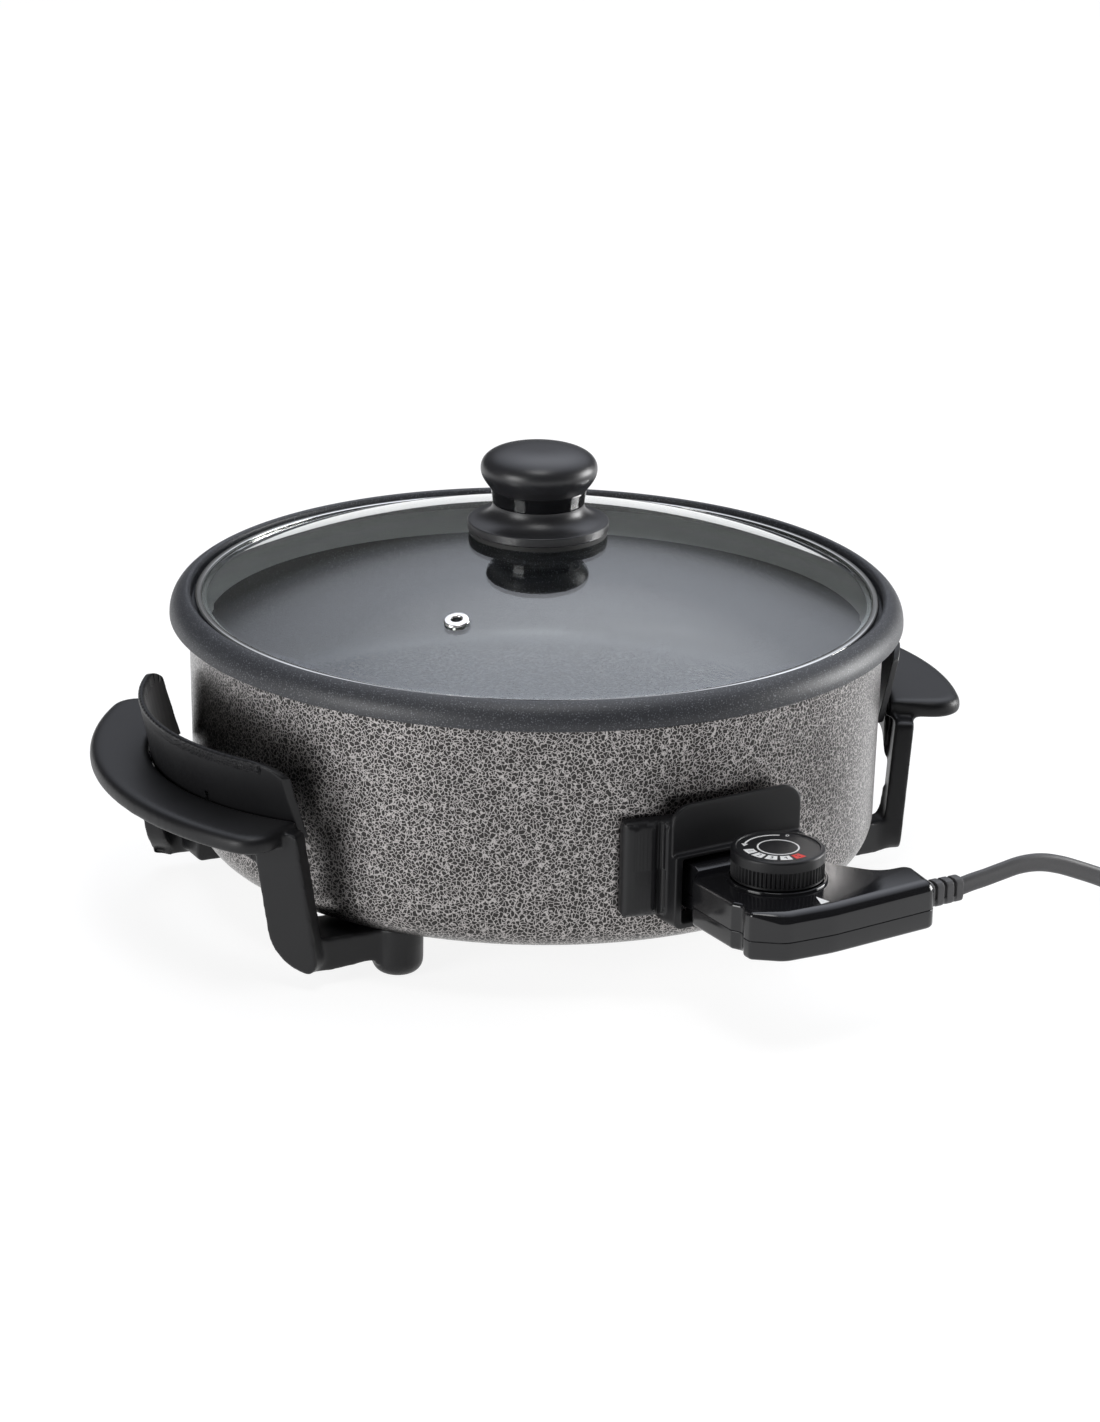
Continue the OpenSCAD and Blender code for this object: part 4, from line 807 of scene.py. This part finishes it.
cap_z = collar_z + collar_high
cap_high = 20.7 * mm
cap_wide = 29 * mm
cap_waist = 0.48 * cap_high
cap_start = neck_radius + 1.5 * mm
cap_bore = 2.5 * mm
cap_bore_high = 12 * mm
cap_line = [(0, cap_z + cap_bore_high), (cap_bore, cap_z + cap_bore_high), (cap_bore, cap_z),
            (cap_start - 0.7 * mm, cap_z)]
cap_line += [(cap_start - 0.2 * mm, cap_z + 0.2 * mm), (cap_start, cap_z + 0.6 * mm)]
for i in range(1, 13):
    cap_line += [(cap_start + (cap_wide - cap_start) * math.sin(math.radians(7.5 * i)),
                  cap_z + 0.6 * mm + (cap_waist - 0.6 * mm) * i / 12)]
for i in range(1, 33):
    turn = math.radians(90 * i / 32)
    cap_line += [(cap_wide * max(0, math.cos(turn)) ** 0.62,
                  cap_z + cap_waist + (cap_high - cap_waist) * math.sin(turn) ** 0.9)]
cap_line[-1] = (0, cap_z + cap_high)
cap = spun("knob_cap_moulded", cap_line, steps=128)
dress(cap, knob_skin)
settle(cap, "lid", "bakelite", "knob_cap")

# The control: two glossy black half shells with a side arm for the cord and a neck that goes
# into the guard. The contact sleeves and the steel probe come out of the neck.
rear = -186 * mm
split = 57 * mm
control_top = 71 * mm
control_low = 47.5 * mm
sleeve_x = 16 * mm
sleeve_bore = 4.3 * mm
probe_bore = 3.35 * mm
bore_y = -180 * mm
bore_deep = 40 * mm
nose_y = -241 * mm
nose_x = -36 * mm
nose_small = 2.2 * mm
nose_large = 5.8 * mm
screw_places = ((-29, -245), (50, -243))
control_corners = [(-27, -186, 4), (-35.5, -196, 5), (-36.5, -230, 2.6), (-33.6, -235.5, 4), (-36.9, -241, 3),
                   (-37, -246, 3), (-24, -257, 13), (2, -259, 60), (64, -255.5, 6), (64, -230.5, 5),
                   (48, -229.5, 14), (35, -212, 10), (35, -196, 5), (27, -186, 4)]


def rounded(corners, z):
    """A closed outline in mm with rounded corners, at a height in metres."""
    return [(x * mm, y * mm, z) for x, y in eased(corners)]


def raised(name, outline, height, top_edge=0.0, low_edge=0.0, segments=4):
    """Raises an outline to a block and rounds its top or bottom edge."""
    piece = carried(name, outline, (0, 0, height))
    z = outline[0][2]
    for edge_z, edge in ((z + height, top_edge), (z, low_edge)):
        if edge:
            bpy.ops.object.mode_set(mode="OBJECT")
            mesh = piece.data
            for v in mesh.vertices:
                v.select = False
            for f in mesh.polygons:
                f.select = False
            for e in mesh.edges:
                e.select = all(abs(mesh.vertices[i].co.z - edge_z) < 1e-6 for i in e.vertices)
            bpy.ops.object.mode_set(mode="EDIT")
            bpy.ops.mesh.bevel(offset=edge, segments=segments, affect="EDGES", clamp_overlap=False)
    tidy_mesh(35)
    return piece


def slid(name, outline, half_width, edge):
    """A block whose outline of (y, z) points runs across from side to side."""
    piece = carried(name, [(-half_width, y, z) for y, z in outline], (2 * half_width, 0, 0))
    bpy.ops.mesh.bevel(offset=edge, segments=3, affect="EDGES")
    tidy_mesh()
    return piece


def socket_bores():
    """Cutters for the two contact sleeves and the probe."""
    bores = (("sleeve_bore", -sleeve_x, sleeve_bore), ("sleeve_bore", sleeve_x, sleeve_bore),
             ("probe_bore", 0, probe_bore))
    return [bar(name, (x, bore_y, socket_z), radius, bore_deep, "Y") for name, x, radius in bores]


neck_half = 28 * mm
neck_low = 49.5 * mm
neck_top = 73 * mm
neck_end = -163.6 * mm
neck_gap = 0.02 * mm
shell_gap = 0.05 * mm
neck_line = [(rear - 6 * mm, split + neck_gap), (neck_end, split + neck_gap), (neck_end, neck_top),
             (rear, neck_top), (rear - 3.4 * mm, control_top), (rear - 6 * mm, control_top - 1 * mm)]
upper_neck = slid("upper_neck", neck_line, neck_half, 0.6 * mm)
cut(upper_neck, *socket_bores())


def nose_round(p):
    """The top edge's radius: small at the back, and large round the front and the arm."""
    front_share = min(1, max(0, (nose_y - p.y) / (8 * mm)))
    side_share = min(1, max(0, (p.x - nose_x) / (10 * mm)))
    return nose_small + (nose_large - nose_small) * front_share * side_share


upper = cushioned("control_upper_moulding", rounded(control_corners, split + shell_gap),
                  control_top - split - shell_gap, nose_round, 0.25 * mm)
upper = joined(upper, upper_neck)
bezel_radius = 24 * mm
dial_y = -214.3 * mm
bezel_line = [(bezel_radius, -1 * mm)] + bow(bezel_radius - 0.5 * mm, 0.7 * mm, 0.5 * mm, 0, 90, 4)
bezel_line += [(bezel_radius - 1.2 * mm, 1.2 * mm), (bezel_radius - 1.5 * mm, 0.5 * mm), (4.1 * mm, 0.5 * mm),
               (4.1 * mm, -1 * mm)]
bezel = spun("dial_bezel", bezel_line, ring=True, steps=128, centre=(0, dial_y, control_top))
upper = joined(upper, bezel)
dress(upper, polished)
settle(upper, "control", "control_black", "control_upper_shell")

lower_neck = block("lower_neck", (-neck_half, rear - 5 * mm, neck_low),
                   (neck_half, neck_end, split - neck_gap), 0.8 * mm)
cut(lower_neck, *socket_bores())
lower = raised("control_lower_moulding", rounded(control_corners, control_low),
               split - control_low - shell_gap, 0.25 * mm, 2 * mm)
for x, y in screw_places:
    cut(lower, bar("screw_well", (x * mm, y * mm, control_low), 3.4 * mm, 6 * mm))
lower = joined(lower, lower_neck)
dress(lower, polished)
settle(lower, "control", "control_black", "control_lower_shell")

brass = Finish("drawn_brass")
tarnish = brass.noise(250, 3.0)
coat(brass.skin(Base_Color=brass.blend(tarnish, (0.62, 0.45, 0.17, 1), (0.78, 0.62, 0.30, 1)), Metallic=1.0,
                Roughness=0.2 + tarnish * 0.2), "contact_sleeves", "switch_blades", "plug_blades")

fibre = Finish("brown_fibre_board")
threads = fibre.noise(500, 4.0)
coat(fibre.skin(Base_Color=fibre.blend(threads, (0.18, 0.09, 0.045, 1), (0.30, 0.16, 0.08, 1)),
                Roughness=0.6 + threads * 0.2), "contact_carrier")

# The dial: a black moulding with a ribbed skirt that turns on its spindle, printed in white
# and red; a white pointer is printed on the control in front of it.
dial_z = 72.5 * mm
dial_radius = 22.4 * mm
dial_high = 14.4 * mm
skirt_high = 8.8 * mm
skirt_ring = 1.1 * mm
dial_round = 1.6 * mm
ribs = 64
dial_top = dial_z + dial_high - 0.5 * mm
skirt_line = []
for i in range(ribs):
    for share, depth in ((0.0, 1.0), (0.18, 1.0), (0.36, 0.25), (0.5, 0.0), (0.64, 0.0), (0.82, 0.25)):
        turn = 2 * math.pi * (i + share) / ribs
        r = dial_radius - 0.2 * mm - 1.0 * mm * (1 - depth)
        skirt_line.append((r * math.cos(turn), dial_y + r * math.sin(turn), dial_z + skirt_ring))
dial_skirt = raised("dial_skirt", skirt_line, skirt_high - skirt_ring + 0.05 * mm)
dial_line = [(0, 0), (dial_radius - 0.5 * mm, 0), (dial_radius - 0.2 * mm, 0.3 * mm),
             (dial_radius - 0.2 * mm, skirt_ring), (dial_radius - 2 * mm, skirt_ring),
             (dial_radius - 2 * mm, skirt_high), (dial_radius, skirt_high)]
dial_line += bow(dial_radius - dial_round, dial_high - dial_round, dial_round, 0, 90, 7)
dial_line += [(dial_radius - 2.3 * mm, dial_high), (dial_radius - 2.7 * mm, dial_high - 0.5 * mm),
              (0, dial_high - 0.5 * mm)]
dial = joined(spun("dial_moulding", dial_line, steps=160, centre=(0, dial_y, dial_z)), dial_skirt)
dress(dial, phenolic_skin)
settle(dial, "dial", "control_black", "dial_knob")

ink = Finish("white_print")
wear = ink.ramp(ink.noise(1400, 3.0), (0.30, 0.7), (0.48, 1.0))
white_ink = ink.skin(Base_Color=ink.blend(wear, (0.30, 0.30, 0.30, 1), (0.82, 0.82, 0.80, 1)), Roughness=0.5)
red = Finish("red_print")
red_wear = red.ramp(red.noise(1400, 3.0), (0.30, 0.7), (0.48, 1.0))
red_ink = red.skin(Base_Color=red.blend(red_wear, (0.22, 0.02, 0.015, 1), (0.72, 0.035, 0.025, 1)),
                   Roughness=0.5)
ink_high = 0.05 * mm
ring_inner = 9.3 * mm
ring_outer = 10.1 * mm
block_inner = 12.0
block_outer = 17.0
block_spread = 10.2
block_turns = (170.8, 197, 223, 249.2)
red_turns = (265.2, 285.6)


def sector(name, inner, outer, start, end, steps=8):
    """A printed patch on the dial between two radii and two directions."""
    turns = [math.radians(start + (end - start) * i / steps) for i in range(steps + 1)]
    edge = [(inner * math.cos(a), inner * math.sin(a)) for a in turns]
    edge += [(outer * math.cos(a), outer * math.sin(a)) for a in turns[::-1]]
    return raised(name, [(x * mm, dial_y + y * mm, dial_top) for x, y in edge], ink_high)


def digit(name, text, size, radius, direction):
    """A printed number that reads from the dial's edge."""
    pick()
    bpy.ops.object.text_add(location=(0, 0, 0))
    piece = bpy.context.object
    piece.name = name
    piece.data.body = text
    piece.data.size = size * mm
    piece.data.extrude = ink_high / 2
    piece.data.align_x = "CENTER"
    piece.data.align_y = "CENTER"
    bpy.ops.object.convert(target="MESH")
    a = math.radians(direction)
    piece.rotation_euler = (0, 0, a + math.pi / 2)
    piece.location = (radius * mm * math.cos(a), dial_y + radius * mm * math.sin(a), dial_top + ink_high)
    bpy.ops.object.transform_apply(location=True, rotation=True, scale=True)
    return piece


ring_line = [(ring_inner, 0), (ring_outer, 0), (ring_outer, ink_high), (ring_inner, ink_high)]
print_ring = spun("print_ring", ring_line, ring=True, steps=96, centre=(0, dial_y, dial_top))
arrow = sector("print_arrow", 15.6, 16.5, 53, 136, 24)
head_line = [bow(0, dial_y, r * mm, a, a, 1)[0] for r, a in ((14.4, 134), (17.7, 134), (16.1, 145))]
arrow_head = raised("print_arrow_head", [(x, y, dial_top) for x, y in head_line], ink_high)
zero = digit("print_zero", "0", 3.6, 16.6, 40)
blocks = [sector("print_block", block_inner, block_outer, a - block_spread, a + block_spread)
          for a in block_turns]
white_print = joined(print_ring, arrow, arrow_head, zero, *blocks)
white_print.name = "dial_white_print"
dress(white_print, white_ink)
settle(white_print, "dial", "control_black")
red_print = sector("dial_red_print", block_inner, block_outer, *red_turns)
dress(red_print, red_ink)
settle(red_print, "dial", "control_black")
digit_turns = block_turns + (sum(red_turns) / 2,)
black_print = joined(*[digit("print_digit", text, 4.2, 14.5, a) for text, a in zip("12345", digit_turns)])
black_print.name = "dial_black_print"
dress(black_print, polished)
settle(black_print, "dial", "control_black")
pointer_corners = ((1.6, -243.5), (-1.8, -252.6), (3.4, -251.9))
pointer = raised("control_pointer", [(x * mm, y * mm, control_top) for x, y in pointer_corners], ink_high)
dress(pointer, white_ink)
settle(pointer, "control", "control_black")

# The cord: a flat two-core lead that comes out of a ribbed relief, drops to the table and is
# wound into a tied coil, with a moulded two-blade plug at its end.
cord_wide = 9 * mm
cord_thick = 4.6 * mm
relief_end = Vector((85, -243, 59.5))
coil_middle_x = 284
coil_pitch = 5.2
coil_turns = 1.25
coil_mean = 44
coil_front_y = -239
coil_outer = coil_mean + coil_pitch * coil_turns / 2
layer_high = 9.6
coil_clear = 1.4
coil_low = coil_clear + cord_wide / 2 / mm
coil_middle_y = coil_front_y + coil_outer
coil_sweep = 360 * (2 * coil_turns + 0.5)


def curve_through(points, parts):
    """A smooth curve through the points."""
    line = []
    for i in range(len(points) - 1):
        a, b = points[max(i - 1, 0)], points[i]
        c, d = points[i + 1], points[min(i + 2, len(points) - 1)]
        for j in range(parts):
            t = j / parts
            line.append(0.5 * (2 * b + (c - a) * t + (2 * a - 5 * b + 4 * c - d) * t * t
                               + (3 * b - a - 3 * c + d) * t ** 3))
    return line


def coil_point(turn):
    a = math.radians(turn)
    r = coil_outer - coil_pitch * min(turn, coil_sweep - turn) / 360
    climb = min(1, max(0, (turn - 360 * coil_turns) / 180))
    return Vector((coil_middle_x + r * math.sin(a), coil_middle_y - r * math.cos(a),
                   coil_low + layer_high * (1 - math.cos(math.pi * climb)) / 2))


steps_from_relief = [(0, 0, 0), (8, 0, 1.2), (16, 0, 2), (25, 0, 3.2), (37, 0, 4.5), (49, 0, 3.5),
                     (61, 0, 0), (74, 0, -5.5), (87, 0, -11.5), (101, 1, -19), (115, 2, -27.5),
                     (129, 3, -36), (143, 4, -44), (157, 4, -49.5)]
coil_start = coil_point(0)
lead = [relief_end + Vector(p) for p in steps_from_relief]
lead += [coil_start - Vector((22, 0, 0)), coil_start - Vector((8, 0, 0)), coil_start]
coil_count = math.ceil(coil_sweep / 360 * 48)
coil = [coil_point(coil_sweep * i / coil_count) for i in range(coil_count + 1)]
coil_end = coil[-1]
plug_z = 7.5
drop = coil_end.z - plug_z
steps_to_plug = [(0, 0, 0), (10, 0, 0), (24, 0, -2), (40, 0, 1.5 - drop), (56, 0, -drop), (64, 0, -drop)]
tail = [coil_end + Vector(p) for p in steps_to_plug]
route = curve_through(lead, 8) + coil[:-1] + curve_through(tail, 6) + [tail[-1]]
route = [p * mm for p in route]
cord_length = sum((b - a).length for a, b in zip(route, route[1:]))

core_radius = cord_thick / 2
core_shift = cord_wide / 2 - core_radius
section = [(core_radius * math.cos(math.radians(a)), core_shift + core_radius * math.sin(math.radians(a)))
           for a in range(-24, 205, 19)]
section += [(-x, -y) for x, y in section]
cord_points = []
for i, p in enumerate(route):
    heading = (route[min(i + 1, len(route) - 1)] - route[max(i - 1, 0)]).normalized()
    across = heading.cross(Vector((0, 0, 1))).normalized()
    up = across.cross(heading).normalized()
    cord_points += [p + across * x + up * y for x, y in section]
sides = len(section)
cord_faces = [(j * sides + i, j * sides + (i + 1) % sides,
               (j + 1) * sides + (i + 1) % sides, (j + 1) * sides + i)
              for j in range(len(route) - 1) for i in range(sides)]
cord_faces += [tuple(range(sides))[::-1], tuple(range((len(route) - 1) * sides, len(route) * sides))]
flat_cord = built("flat_cord", cord_points, cord_faces, 50)

jacket = Finish("cord_jacket")
jacket_grain = jacket.noise(1200, 3.0)
jacket_skin = jacket.skin(
    Base_Color=jacket.blend(jacket_grain, (0.052, 0.051, 0.052, 1), (0.082, 0.080, 0.081, 1)),
    Roughness=0.42 + jacket_grain * 0.15, Normal=jacket.bump(jacket_grain, 0.00004, 0.3))
dress(flat_cord, jacket_skin)
settle(flat_cord, "control", "cord", "cord_lead", "cord_coil", "cord_tail")

relief = softened("ribbed_relief", "strain_relief", 0.35 * mm, 4)
dress(relief, jacket_skin)
settle(relief, "control", "cord", "strain_relief")
plug = softened("moulded_plug", "plug_body", 0.5 * mm, 5)
dress(plug, jacket_skin)
settle(plug, "control", "cord", "plug_body")
coat(rubber, "cord_tie")
